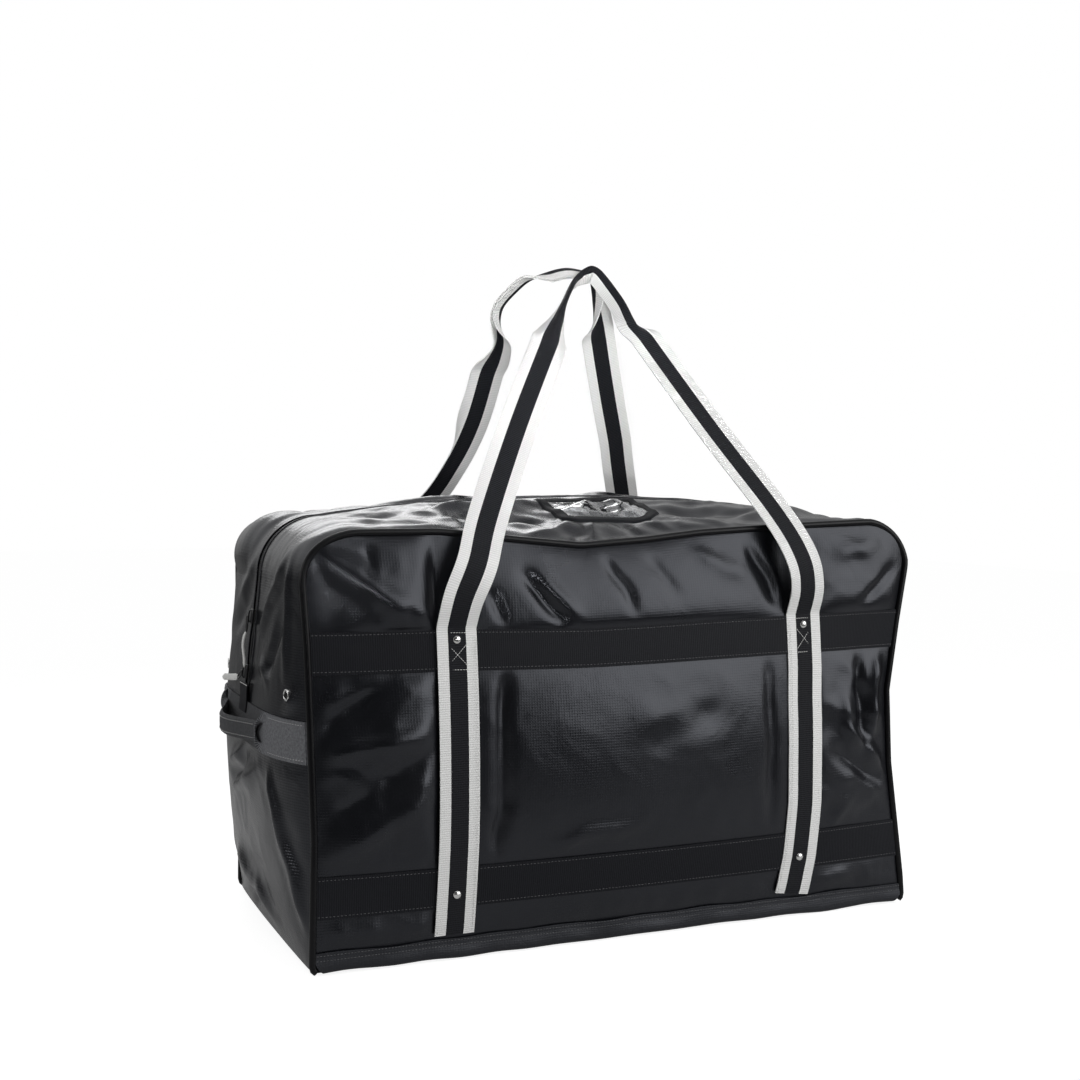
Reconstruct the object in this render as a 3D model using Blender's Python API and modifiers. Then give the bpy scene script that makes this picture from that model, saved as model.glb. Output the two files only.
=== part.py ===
"""Hockey equipment bag: a soft tarpaulin duffel with a zip over the top, two long webbing
carry handles and a short grip on each end. Metres, +Z up, the front panel faces -Y, and the
origin is on the floor under the middle of the bag."""

import math

import bpy
from mathutils import Vector

# Driving sizes of the bag, measured from piping to piping
LENGTH = 0.838
DEPTH = 0.432
HEIGHT = 0.530
TOP_CORNER_R = 0.065
BASE_RIM = 0.028

# Sheet thicknesses and the clearance between two sewn layers
TARP = 0.0012
BASE_TARP = 0.0016
WEB = 0.0016
GAP = 0.0006

# How far the stuffed panels swell
FRONT_BULGE = 0.035
END_BULGE = 0.034
END_BULGE_TOP = 0.013
END_BULGE_Z = 0.280
DOME_MID = 0.037
DOME_END = 0.012

# Webbing: bands across the panels, straps up the panels, and the carry handles
WEB_WIDTH = 0.0508
UPPER_BAND_Z = 0.385
LOWER_BAND_Z = 0.0935
STRAP_X = 0.243
HANDLE_GRIP_WIDTH = 0.026
END_BAND_Z = 0.278
GRIP_STANDOFF = 0.028
GRIP_LENGTH = 0.230
GRIP_FOLD = 0.030
GRIP_SWING = math.radians(25)

# Piping, rivets, eyelets
PIPING_R = 0.004
RIVET_R = 0.0055
RIVET_HEIGHT = 0.0028
UPPER_RIVET_DROP = 0.0133
LOWER_RIVET_Z = 0.085
EYELET_R = 0.0075
EYELET_WIRE = 0.0022
EYELET_FROM_EDGE = 0.042
EYELET_Z = 0.332

# Zip: half width of the slot in the tarpaulin, tape, teeth, sliders and pulls
ZIP_SLOT = 0.011
ZIP_TAPE = 0.017
TEETH_HALF = 0.0035
TEETH_HEIGHT = 0.0024
ZIP_END_Z = 0.322
ZIP_TAB_HEIGHT = 0.045
ZIP_TAB_WIDTH = 0.036
UPPER_SLIDER_Z = 0.412
LOWER_SLIDER_Z = 0.340
SLIDER_LENGTH = 0.020
SLIDER_WIDTH = 0.014
SLIDER_HEIGHT = 0.006
PULLER_LENGTH = 0.022
PULL_TAB_LENGTH = 0.046
PULL_TAB_WIDTH = 0.009
PULL_THICKNESS = 0.0032
LINK_THICKNESS = 0.0022

# Clear window for a name card on the front half of the top
WINDOW_X = 0.015
WINDOW_LENGTH = 0.150
WINDOW_DEPTH = 0.100
WINDOW_BORDER = 0.018
WINDOW_FROM_ZIP = 0.030

# Places worked out from the sizes above
HALF_L = LENGTH / 2
HALF_D = DEPTH / 2
SIDE_TOP = HEIGHT - TOP_CORNER_R
TOP_END_X = HALF_L - TOP_CORNER_R
EDGE = PIPING_R + GAP
BAND_OFF = GAP
STRAP_OFF = BAND_OFF + WEB + GAP
HANDLE_Z = UPPER_BAND_Z + WEB_WIDTH / 2 + 1.5 * GAP


def clear_scene():
    for obj in list(bpy.data.objects):
        bpy.data.objects.remove(obj, do_unlink=True)


def collection(name):
    made = bpy.data.collections.new(name)
    bpy.context.scene.collection.children.link(made)
    return made


def material(name, colour, roughness, metallic=0.0):
    made = bpy.data.materials.new(name)
    made.use_nodes = True
    shader = made.node_tree.nodes["Principled BSDF"]
    shader.inputs["Base Color"].default_value = (*colour, 1)
    shader.inputs["Roughness"].default_value = roughness
    shader.inputs["Metallic"].default_value = metallic
    return made


def finish(obj, look):
    obj.data.materials.append(look)
    for other in list(obj.users_collection):
        other.objects.unlink(obj)
    BAG.objects.link(obj)
    return obj


def steps(low, high, count):
    return [low + (high - low) * i / count for i in range(count + 1)]


def sheet(name, us, vs, place, thickness, look, skip=None, side=-1):
    """A sewn sheet: a grid over us and vs, set in space by place(u, v) and then thickened.
    skip(u, v) leaves out the faces whose middle it is true for."""
    bpy.ops.mesh.primitive_grid_add(x_subdivisions=len(us) - 1, y_subdivisions=len(vs) - 1, size=1)
    obj = bpy.context.object
    obj.name = name
    mesh = obj.data
    for vertex in mesh.vertices:
        column = round((vertex.co.x + 0.5) * (len(us) - 1))
        row = round((vertex.co.y + 0.5) * (len(vs) - 1))
        vertex.co = Vector((us[column], vs[row], 0))
    if skip:
        cut_faces(obj, skip)
    for vertex in mesh.vertices:
        vertex.co = Vector(place(vertex.co.x, vertex.co.y))
    thick = obj.modifiers.new("thickness", "SOLIDIFY")
    thick.thickness = thickness
    thick.offset = side
    mesh.shade_smooth()
    return finish(obj, look)


def cut_faces(obj, skip):
    import bmesh

    shape = bmesh.new()
    shape.from_mesh(obj.data)
    gone = []
    for face in shape.faces:
        middle = face.calc_center_median()
        if skip(middle.x, middle.y):
            gone.append(face)
    bmesh.ops.delete(shape, geom=gone, context="FACES")
    shape.to_mesh(obj.data)
    shape.free()


def tube(name, points, radius, look):
    curve = bpy.data.curves.new(name, "CURVE")
    curve.dimensions = "3D"
    curve.bevel_depth = radius
    curve.bevel_resolution = 2
    curve.use_fill_caps = True
    spline = curve.splines.new("POLY")
    spline.points.add(len(points) - 1)
    for point, place in zip(spline.points, points):
        point.co = (*place, 1)
    obj = bpy.data.objects.new(name, curve)
    BAG.objects.link(obj)
    curve.materials.append(look)
    return obj


# Shape of the stuffed bag


def front_bulge(x, z):
    """How far the front panel swells out of the plane of its piping."""
    if z <= BASE_RIM:
        return 0.0
    across = min(1.0, abs(x) / (HALF_L - EDGE))
    up = 2 * (z - BASE_RIM) / (HEIGHT - BASE_RIM) - 1
    return FRONT_BULGE * (1 - across**2) * (1 - up**2) * (1 - 0.25 * up)


def end_bulge(y, z):
    """How far an end panel swells, up to the start of the top corner."""
    across = 1 - (abs(y) / (HALF_D - EDGE)) ** 4
    if z < END_BULGE_Z:
        up = END_BULGE * (1 - (1 - z / END_BULGE_Z) ** 2)
    else:
        share = (z - END_BULGE_Z) / (SIDE_TOP - END_BULGE_Z)
        up = END_BULGE + (END_BULGE_TOP - END_BULGE) * share
    return across * up


def dome(x, y):
    """How far the top stands over the piping."""
    across = 1 - (y / (HALF_D - EDGE)) ** 2
    along = 1 - (x / TOP_END_X) ** 2
    return across * (DOME_END + (DOME_MID - DOME_END) * along)


def panel_half_length(z):
    """Half the length of the front panel at a height, inside its piping."""
    over = max(0.0, z - SIDE_TOP)
    radius = TOP_CORNER_R - EDGE
    return TOP_END_X + math.sqrt(max(0.0, radius**2 - over**2))


def wall(side, out):
    """Places a point given by x and z on the front (side -1) or back (side 1) panel."""
    return lambda x, z: (x, side * (HALF_D + front_bulge(x, z) + out), z)


def end(side, out):
    """Places a point on the left (side -1) or right (side 1) end. y runs across, and s runs up
    the end and then round the top corner, in metres of height and then of angle."""

    def place(y, s):
        if s <= SIDE_TOP:
            return (side * (HALF_L + end_bulge(y, s) + out), y, s)
        turn = min(1.0, (s - SIDE_TOP) / TOP_CORNER_R) * math.pi / 2
        reach = TOP_CORNER_R + end_bulge(y, SIDE_TOP) + out
        rise = TOP_CORNER_R + dome(TOP_END_X, y) + out
        return (side * (TOP_END_X + reach * math.cos(turn)), y, SIDE_TOP + rise * math.sin(turn))

    return place


def facing(side, place):
    """Keeps a sheet's outer face outwards on the mirrored side by turning its first axis round."""
    return place if side < 0 else lambda u, v: place(-u, v)


# Pieces


def front_and_back(side, label):
    lower = steps(LOWER_BAND_Z - WEB_WIDTH / 2, LOWER_BAND_Z + WEB_WIDTH / 2, 2)
    upper = steps(UPPER_BAND_Z - WEB_WIDTH / 2, UPPER_BAND_Z + WEB_WIDTH / 2, 2)
    rows = [BASE_RIM - 0.012, BASE_RIM] + lower + steps(lower[-1], upper[0], 5)[1:-1] + upper
    rows += [(upper[-1] + SIDE_TOP) / 2, SIDE_TOP]
    corner_steps = 4
    for i in range(1, corner_steps + 1):
        rows.append(SIDE_TOP + (TOP_CORNER_R - EDGE) * math.sin(i * math.pi / 2 / corner_steps))
    on_wall = wall(side, 0)

    def place(u, z):
        return on_wall(u * panel_half_length(z), z)

    sheet(f"{label}_panel", steps(-1, 1, 14), rows, facing(side, place), TARP, TARP_LOOK)

    for name, z in (("upper", UPPER_BAND_Z), ("lower", LOWER_BAND_Z)):
        across = steps(-(HALF_L - EDGE), HALF_L - EDGE, 14)
        up = steps(z - WEB_WIDTH / 2, z + WEB_WIDTH / 2, 2)
        band = facing(side, wall(side, BAND_OFF + WEB))
        sheet(f"{label}_{name}_band", across, up, band, WEB, BAND_LOOK)


def straps(side, label):
    for name, hand in (("left", -1), ("right", 1)):
        x = hand * STRAP_X
        across = steps(x * -side - WEB_WIDTH / 2, x * -side + WEB_WIDTH / 2, 2)
        low, high = LOWER_BAND_Z - WEB_WIDTH / 2, UPPER_BAND_Z + WEB_WIDTH / 2
        up = [BASE_RIM + GAP] + steps(low, high, 12)
        strap = facing(side, wall(side, STRAP_OFF + WEB))
        sheet(f"{label}_{name}_strap", across, up, strap, WEB, STRIPE_LOOK)
        for row, z in (("upper", HANDLE_Z - UPPER_RIVET_DROP), ("lower", LOWER_RIVET_Z)):
            rivet(f"{label}_{name}_{row}_rivet", side, x, z)


def rivet(name, side, x, z):
    """A domed cap set on the strap, facing outwards."""
    bpy.ops.mesh.primitive_cone_add(
        vertices=16, radius1=RIVET_R, radius2=RIVET_R * 0.45, depth=RIVET_HEIGHT
    )
    obj = bpy.context.object
    obj.name = name
    outer = wall(side, STRAP_OFF + WEB)
    along = Vector(outer(x + 0.01, z)) - Vector(outer(x - 0.01, z))
    up = Vector(outer(x, z + 0.01)) - Vector(outer(x, z - 0.01))
    outward = along.cross(up).normalized() * -side
    obj.rotation_euler = outward.to_track_quat("Z", "Y").to_euler()
    obj.location = Vector(outer(x, z)) + outward * (GAP + RIVET_HEIGHT / 2)
    obj.data.shade_smooth()
    finish(obj, NICKEL_LOOK)


def piping(side, label):
    """The round welt in the seam, up one end, over the top corners and down the other."""
    points = []
    for z in steps(GAP, SIDE_TOP, 6):
        points.append((-HALF_L, z))
    for turn in steps(math.pi, math.pi / 2, 6)[1:]:
        x = -TOP_END_X + TOP_CORNER_R * math.cos(turn)
        points.append((x, SIDE_TOP + TOP_CORNER_R * math.sin(turn)))
    half = list(points)
    points += [(x, HEIGHT) for x in steps(-TOP_END_X, TOP_END_X, 6)[1:-1]]
    points += [(-x, z) for x, z in reversed(half)]
    tube(f"{label}_piping", [(x, side * HALF_D, z) for x, z in points], PIPING_R, PIPING_LOOK)


def end_panel(side, label):
    inner = HALF_D - EDGE
    half = [inner, 0.185, 0.15, 0.10, 0.05, ZIP_SLOT]
    across = [-y for y in half] + [y for y in reversed(half)]
    corner = steps(SIDE_TOP, SIDE_TOP + TOP_CORNER_R - GAP, 4)
    up = steps(0.0, ZIP_END_Z, 6) + steps(ZIP_END_Z, SIDE_TOP, 3)[1:] + corner[1:]

    def in_slot(y, s):
        return abs(y) < ZIP_SLOT and s > ZIP_END_Z

    skin = facing(-side, end(side, 0))
    panel = sheet(f"{label}_end_panel", across, up, skin, TARP, TARP_LOOK, skip=in_slot)
    for name, hand in (("front", -1), ("back", 1)):
        eyelet(f"{label}_{name}_eyelet", side, hand * (HALF_D - EYELET_FROM_EDGE), panel)

    band_half = HALF_D - EDGE - 0.004
    rows = steps(END_BAND_Z - WEB_WIDTH / 2, END_BAND_Z + WEB_WIDTH / 2, 2)
    cols = [-band_half] + across[1:-1] + [band_half]
    sheet(f"{label}_end_band", cols, rows, facing(-side, end(side, BAND_OFF + WEB)), WEB, BAND_LOOK)


def eyelet(name, side, y, panel):
    """A metal ring in a hole of the end panel."""
    skin = end(side, 0)
    middle = Vector(skin(y, EYELET_Z))
    along = Vector(skin(y + 0.01, EYELET_Z)) - Vector(skin(y - 0.01, EYELET_Z))
    up = Vector(skin(y, EYELET_Z + 0.01)) - Vector(skin(y, EYELET_Z - 0.01))
    outward = along.cross(up).normalized() * -side * -1
    turn = outward.to_track_quat("Z", "Y")
    bpy.ops.mesh.primitive_cylinder_add(vertices=16, radius=EYELET_R, depth=0.03)
    cutter = bpy.context.object
    cutter.name = f"{name}_hole"
    cutter.rotation_euler = turn.to_euler()
    cutter.location = middle
    cutter.hide_render = True
    cutter.display_type = "WIRE"
    for other in list(cutter.users_collection):
        other.objects.unlink(cutter)
    CUTTERS.objects.link(cutter)
    hole = panel.modifiers.new(f"{name}_hole", "BOOLEAN")
    hole.operation = "DIFFERENCE"
    hole.object = cutter
    ring = EYELET_R - GAP - EYELET_WIRE
    bpy.ops.mesh.primitive_torus_add(
        major_radius=ring, minor_radius=EYELET_WIRE, major_segments=20, minor_segments=8
    )
    obj = bpy.context.object
    obj.name = name
    obj.rotation_euler = turn.to_euler()
    obj.location = middle - outward.normalized() * TARP / 2
    obj.data.shade_smooth()
    finish(obj, NICKEL_LOOK)


def base():
    """The reinforced floor turns up over the bottom of the front and back panels."""
    out = HALF_D + GAP + BASE_TARP
    fold = 0.006
    profile = [(-out, BASE_RIM), (-out, fold), (-out + fold * 0.3, fold * 0.3), (-out + fold, 0.0)]
    profile += [(y, 0.0) for y in steps(-HALF_D * 0.9, HALF_D * 0.9, 4)]
    profile += [(-y, z) for y, z in reversed(profile[:4])]
    half = HALF_L - EDGE

    def place(x, v):
        y, z = profile[round(v)]
        return (x, y, z)

    rows = list(range(len(profile)))
    sheet("base_panel", steps(half, -half, 8), rows, place, BASE_TARP, BASE_LOOK)

    inside = HALF_D - GAP - 0.008
    floor_top = 2 * BASE_TARP + GAP
    lining = half

    def floor(x, y):
        return (x, y, floor_top)

    sheet("base_liner", steps(-lining, lining, 2), steps(-inside, inside, 2), floor, BASE_TARP, BASE_LOOK)


def end_zip(side, label):
    """Tape and teeth of the zip down an end, and the webbing tab that covers its stop."""
    up = steps(ZIP_END_Z - 0.006, SIDE_TOP, 5)
    up += steps(SIDE_TOP, SIDE_TOP + TOP_CORNER_R - GAP, 4)[1:]
    under = end(side, -TARP - GAP)
    sheet(f"{label}_zip_tape", steps(-ZIP_TAPE, ZIP_TAPE, 2), up, facing(-side, under), WEB / 2, ZIP_LOOK)
    teeth = end(side, -TARP - GAP + GAP + TEETH_HEIGHT)
    rows = [s for s in up if s > ZIP_END_Z + 0.001]
    half = [-TEETH_HALF, TEETH_HALF]
    sheet(f"{label}_zip_teeth", half, rows, facing(-side, teeth), TEETH_HEIGHT, TEETH_LOOK)

    top = ZIP_END_Z + 0.004
    rows = steps(END_BAND_Z + WEB_WIDTH / 2 - 0.012, top, 3)
    tab = end(side, GAP + TEETH_HEIGHT + WEB)
    wide = steps(-ZIP_TAB_WIDTH / 2, ZIP_TAB_WIDTH / 2, 2)
    sheet(f"{label}_zip_tab", wide, rows, facing(-side, tab), WEB, BAND_LOOK)


def top_flap(side, label):
    """One half of the top, from its piping to the zip, with its own tape and row of teeth."""
    xs = steps(-(TOP_END_X - GAP), TOP_END_X - GAP, 12)

    def skin(drop):
        def place(x, y):
            return (x, side * y, HEIGHT + dome(x, y) + drop)

        return place if side > 0 else lambda x, y: place(-x, y)

    ys = steps(ZIP_SLOT, HALF_D - EDGE, 5)
    sheet(f"{label}_top_flap", xs, ys, skin(0), TARP, TARP_LOOK)
    tape = skin(-TARP - GAP)
    edge = TEETH_HALF + GAP
    sheet(f"{label}_zip_tape", xs, steps(edge, ZIP_TAPE, 1), tape, WEB / 2, ZIP_LOOK)
    teeth = skin(-TARP - GAP + TEETH_HEIGHT / 2)
    sheet(f"{label}_zip_teeth", xs, steps(GAP / 2, TEETH_HALF, 1), teeth, TEETH_HEIGHT, TEETH_LOOK)


def window():
    """A clear vinyl pocket and its webbing border on the front half of the top."""
    near = -(ZIP_SLOT + WINDOW_FROM_ZIP)
    far = near - WINDOW_DEPTH
    low, high = WINDOW_X - WINDOW_LENGTH / 2, WINDOW_X + WINDOW_LENGTH / 2
    cut = WINDOW_BORDER

    def lift(off):
        return lambda x, y: (x, y, HEIGHT + dome(x, y) + off)

    xs = [low, low + cut] + steps(low + cut, high - cut, 4)[1:-1] + [high - cut, high]
    ys = [far, far + cut] + steps(far + cut, near - cut, 3)[1:-1] + [near - cut, near]

    def in_window(x, y):
        return low + cut < x < high - cut and far + cut < y < near - cut

    sheet("id_window_frame", xs, ys, lift(GAP + WEB), WEB, BAND_LOOK, skip=in_window)
    inset = cut + GAP
    xs = steps(low + inset, high - inset, 4)
    ys = steps(far + inset, near - inset, 3)
    sheet("id_window", xs, ys, lift(GAP + TARP), TARP / 2, VINYL_LOOK)


def smooth_path(points, per_span):
    """Points on a smooth curve through the given ones."""
    found = []
    last = len(points) - 1
    for i in range(last):
        a, b = points[max(0, i - 1)], points[i]
        c, d = points[i + 1], points[min(last, i + 2)]
        for k in range(per_span):
            t = k / per_span
            found.append(
                0.5 * (2 * b + (c - a) * t + (2 * a - 5 * b + 4 * c - d) * t**2 + (3 * b - a - 3 * c + d) * t**3)
            )
    return found + [points[last]]


def handle(side, label, left_leg, top, right_leg):
    """A loop of webbing that leans in over the bag. A leg gives the way along the bag, the reach from its
    middle and the height, from the stitched box up to the top, where the webbing is folded for the hand."""
    start = HALF_D + front_bulge(STRAP_X, HANDLE_Z) + STRAP_OFF + WEB / 2
    foot = [(STRAP_X, start, HANDLE_Z), (STRAP_X, start, HANDLE_Z + 0.012)]
    whole = [Vector((-x, y, z)) for x, y, z in foot]
    whole += [Vector(p) for p in left_leg + [top] + list(reversed(right_leg)) + list(reversed(foot))]
    path = [Vector((p.x, side * p.y, p.z)) for p in smooth_path(whole, 3)]
    last = len(path) - 1
    apex, foot = path[last // 2], Vector((0, side * HALF_D, HEIGHT))
    slope = Vector((0, apex.y - foot.y, apex.z - foot.z)).normalized()
    leaning = Vector((0, side * slope.z, -side * slope.y))
    upright = Vector((0, side, 0))

    def place(u, v):
        i = round(v)
        p = path[i]
        along = (path[min(last, i + 1)] - path[max(0, i - 1)]).normalized()
        if i in (0, last):
            along = Vector((0, 0, 1 if i == 0 else -1))
        share = min(1.0, max(0.0, (p.z - HANDLE_Z) / (HEIGHT - HANDLE_Z)))
        face = upright.lerp(leaning, share).normalized()
        across = along.cross(face).normalized()
        fold = min(1.0, max(0.0, (p.z - 0.74) / 0.06))
        width = WEB_WIDTH + (HANDLE_GRIP_WIDTH - WEB_WIDTH) * fold
        return p + across * (u * width / 2) + face * (WEB / 2)

    sheet(f"{label}_handle", [1, -1], list(range(last + 1)), place, WEB, STRIPE_LOOK)


FRONT_LEFT_LEG = [
    (-0.239, 0.256, 0.460),
    (-0.224, 0.250, 0.505),
    (-0.199, 0.224, 0.545),
    (-0.131, 0.154, 0.660),
    (-0.0455, 0.0735, 0.790),
    (-0.001, 0.036, 0.848),
    (0.019, 0.018, 0.866),
]
FRONT_TOP = (0.037, 0.010, 0.873)
FRONT_RIGHT_LEG = [
    (0.241, 0.256, 0.460),
    (0.229, 0.250, 0.505),
    (0.206, 0.224, 0.548),
    (0.148, 0.154, 0.660),
    (0.086, 0.0735, 0.790),
    (0.0665, 0.036, 0.846),
    (0.053, 0.018, 0.866),
]
BACK_LEFT_LEG = [
    (-0.236, 0.256, 0.460),
    (-0.200, 0.250, 0.508),
    (-0.1345, 0.2235, 0.553),
    (-0.1015, 0.184, 0.613),
    (-0.0815, 0.135, 0.690),
    (-0.0725, 0.083, 0.775),
    (-0.068, 0.052, 0.825),
    (-0.043, 0.026, 0.858),
]
BACK_TOP = (0.008, 0.010, 0.874)
BACK_RIGHT_LEG = [
    (0.238, 0.256, 0.460),
    (0.222, 0.250, 0.505),
    (0.200, 0.224, 0.553),
    (0.172, 0.184, 0.615),
    (0.135, 0.135, 0.690),
    (0.0945, 0.083, 0.775),
    (0.066, 0.050, 0.828),
    (0.042, 0.025, 0.860),
]


def grip(side, label):
    """A short webbing grip on an end, standing off its band and folded in two for the hand. It
    is pinched into its seam at both ends, so that it can swing about the line between them."""
    rest = HALF_L + BAND_OFF + WEB + GAP
    spots = [-1.0, -0.99, -0.96, -0.86, -0.7, -0.4, 0.0, 0.4, 0.7, 0.86, 0.96, 0.99, 1.0]

    def place(u, v):
        t = spots[round(v)]
        y = t * GRIP_LENGTH / 2
        rise = GRIP_STANDOFF * max(0.0, 1 - t**4) ** 0.5
        out = rest + end_bulge(y, END_BAND_Z) + rise + min(WEB, rise / 2)
        width = min(GRIP_FOLD, 2 * (rise + GAP) * 0.85 / math.tan(GRIP_SWING))
        return (side * out, y, END_BAND_Z + u * width / 2)

    turn = [-1, 0, 1] if side < 0 else [1, 0, -1]
    sheet(f"{label}_grip", turn, list(range(len(spots))), place, WEB, BAND_LOOK)


def box(name, size, location, tilt, look, round_r):
    bpy.ops.mesh.primitive_cube_add(size=1)
    obj = bpy.context.object
    obj.name = name
    obj.scale = size
    bpy.ops.object.transform_apply(location=False, rotation=False, scale=True)
    obj.rotation_euler = (0, tilt, 0)
    obj.location = location
    soft = obj.modifiers.new("rounding", "BEVEL")
    soft.width = round_r
    soft.segments = 2
    obj.data.shade_smooth()
    return finish(obj, look)


def slider(label, z, sideways):
    """A slider on the teeth of the left end, its link and its white pull, which hangs down the zip or
    lies sideways towards the back."""
    skin = end(-1, 0)
    lean = math.atan2(END_BULGE - END_BULGE_TOP, SIDE_TOP - END_BULGE_Z)
    up = Vector((math.sin(lean), 0, math.cos(lean)))
    out = Vector((-math.cos(lean), 0, math.sin(lean)))
    seat = Vector(skin(0, z)) + out * (-TARP + TEETH_HEIGHT + GAP)
    middle = seat + out * SLIDER_HEIGHT / 2
    size = (SLIDER_HEIGHT, SLIDER_WIDTH, SLIDER_LENGTH)
    box(f"{label}_slider", size, middle, lean, METAL_LOOK, 0.0018)

    pivot = seat + out * (SLIDER_HEIGHT + GAP + LINK_THICKNESS / 2)
    hang = Vector((0, 1, 0)) if sideways else -up
    link = pivot + hang * (PULLER_LENGTH - LINK_THICKNESS) / 2
    link_width = PULL_TAB_WIDTH * 0.7
    size = (LINK_THICKNESS, link_width, PULLER_LENGTH)
    if sideways:
        size = (LINK_THICKNESS, PULLER_LENGTH, link_width)
    box(f"{label}_puller", size, link, lean, METAL_LOOK, 0.0008)
    tab = pivot + hang * (PULLER_LENGTH - LINK_THICKNESS / 2 + GAP + PULL_TAB_LENGTH / 2)
    size = (PULL_THICKNESS, PULL_TAB_WIDTH, PULL_TAB_LENGTH)
    if sideways:
        size = (PULL_THICKNESS, PULL_TAB_LENGTH, PULL_TAB_WIDTH)
    box(f"{label}_pull_tab", size, tab, lean, WHITE_LOOK, 0.0012)


clear_scene()
BAG = collection("hockey_equipment_bag")
CUTTERS = collection("cutters")
TARP_LOOK = material("black_tarpaulin", (0.012, 0.012, 0.014), 0.32)
BASE_LOOK = material("base_tarpaulin", (0.010, 0.010, 0.012), 0.5)
BAND_LOOK = material("black_webbing", (0.008, 0.008, 0.010), 0.75)
STRIPE_LOOK = material("striped_webbing", (0.35, 0.35, 0.34), 0.75)
PIPING_LOOK = material("piping_vinyl", (0.006, 0.006, 0.007), 0.35)
NICKEL_LOOK = material("nickel", (0.75, 0.75, 0.74), 0.25, 1.0)
ZIP_LOOK = material("zip_tape", (0.008, 0.008, 0.009), 0.8)
TEETH_LOOK = material("zip_coil", (0.007, 0.007, 0.008), 0.4)
METAL_LOOK = material("black_metal", (0.01, 0.01, 0.011), 0.35, 0.8)
WHITE_LOOK = material("white_pull", (0.8, 0.8, 0.78), 0.5)
VINYL_LOOK = material("clear_vinyl", (0.55, 0.56, 0.57), 0.08)

for wall_side, wall_name in ((-1, "front"), (1, "back")):
    front_and_back(wall_side, wall_name)
    straps(wall_side, wall_name)
    piping(wall_side, wall_name)
    top_flap(wall_side, wall_name)
for end_side, end_name in ((-1, "left"), (1, "right")):
    end_panel(end_side, end_name)
    end_zip(end_side, end_name)
    grip(end_side, end_name)
base()
window()
handle(-1, "front", FRONT_LEFT_LEG, FRONT_TOP, FRONT_RIGHT_LEG)
handle(1, "back", BACK_LEFT_LEG, BACK_TOP, BACK_RIGHT_LEG)
slider("upper", UPPER_SLIDER_Z, False)
slider("lower", LOWER_SLIDER_Z, True)
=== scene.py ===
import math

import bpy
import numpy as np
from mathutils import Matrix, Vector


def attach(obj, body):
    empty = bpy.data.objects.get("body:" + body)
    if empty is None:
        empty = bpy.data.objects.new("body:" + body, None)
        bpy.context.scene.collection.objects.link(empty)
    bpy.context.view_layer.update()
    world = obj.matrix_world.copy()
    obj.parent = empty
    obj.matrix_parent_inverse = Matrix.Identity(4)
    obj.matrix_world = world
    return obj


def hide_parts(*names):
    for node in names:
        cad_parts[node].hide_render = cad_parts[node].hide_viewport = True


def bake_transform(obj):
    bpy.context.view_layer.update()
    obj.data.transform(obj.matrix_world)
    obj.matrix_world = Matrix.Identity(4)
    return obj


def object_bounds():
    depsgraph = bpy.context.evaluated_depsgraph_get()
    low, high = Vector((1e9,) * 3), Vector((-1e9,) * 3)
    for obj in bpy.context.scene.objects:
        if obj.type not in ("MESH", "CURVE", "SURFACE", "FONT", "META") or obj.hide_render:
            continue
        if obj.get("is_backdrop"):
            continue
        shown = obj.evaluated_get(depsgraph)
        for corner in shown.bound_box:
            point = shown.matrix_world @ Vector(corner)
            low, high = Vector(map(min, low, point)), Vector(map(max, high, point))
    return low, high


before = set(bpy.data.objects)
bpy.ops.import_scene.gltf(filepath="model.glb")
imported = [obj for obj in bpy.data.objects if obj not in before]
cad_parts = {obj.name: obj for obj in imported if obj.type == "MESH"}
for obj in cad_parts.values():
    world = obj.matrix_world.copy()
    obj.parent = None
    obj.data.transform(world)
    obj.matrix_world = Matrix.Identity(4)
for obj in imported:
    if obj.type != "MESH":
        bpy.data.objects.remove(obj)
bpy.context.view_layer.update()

# %% [markdown]
# # Dressing a hockey equipment bag
# The frame that was just loaded holds the bag as plain solids in the right places. This lesson puts the
# cloth over it: creased tarpaulin, striped webbing, thread, a coil zip and nickel hardware. Every piece
# is made in metres in the frame's own axes: x along the bag, y to its back, z up.

HALF_L = 0.419
HALF_D = 0.216
HEIGHT = 0.530
CORNER_R = 0.065
SIDE_TOP = HEIGHT - CORNER_R
TOP_END_X = HALF_L - CORNER_R
CORNER_RUN = CORNER_R * math.pi / 2
RIM = 0.028
EDGE = 0.0046
WEB = 0.0016
WEB_WIDTH = 0.0508
UPPER_BAND = 0.385
LOWER_BAND = 0.0935
STRAP_X = 0.243
END_BAND = 0.278
ZIP_SLOT = 0.011
ZIP_END = 0.322
FRONT_AND_BACK = ((-1, "front"), (1, "back"))
LEFT_AND_RIGHT = ((-1, "left"), (1, "right"))

# %% [markdown]
# ## Camera
# A product photograph is taken from a few metres away with a slightly long lens. A camera can be placed
# by eye, but then every edge leans a little wrong. The place and the turn below came from matching the
# bag's seams, so the picture has the same perspective.

# %% Camera
shot = bpy.data.cameras.new("photo_camera")
shot.lens = 50.74
shot.sensor_width = 36.0
shot.clip_start = 0.05
camera = bpy.data.objects.new("photo_camera", shot)
camera.location = (-0.8558, -1.9625, 0.5903)
camera.rotation_euler = (math.radians(90 - 2.29), 0, math.radians(-22.651))
bpy.context.scene.collection.objects.link(camera)
bpy.context.scene.camera = camera
bpy.context.scene.view_settings.view_transform = "Standard"
print("camera", [round(v, 2) for v in camera.location])

# %% [markdown]
# ## Light and floor
# Black vinyl shows almost nothing but reflections. One strong lamp would give it a few hard sparks, so it
# is lit with large soft boxes, and each shows as a broad sheen. The world is white to the camera and
# dimmer as a light. A mirror sees it brighten upwards, as a room does.


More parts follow.
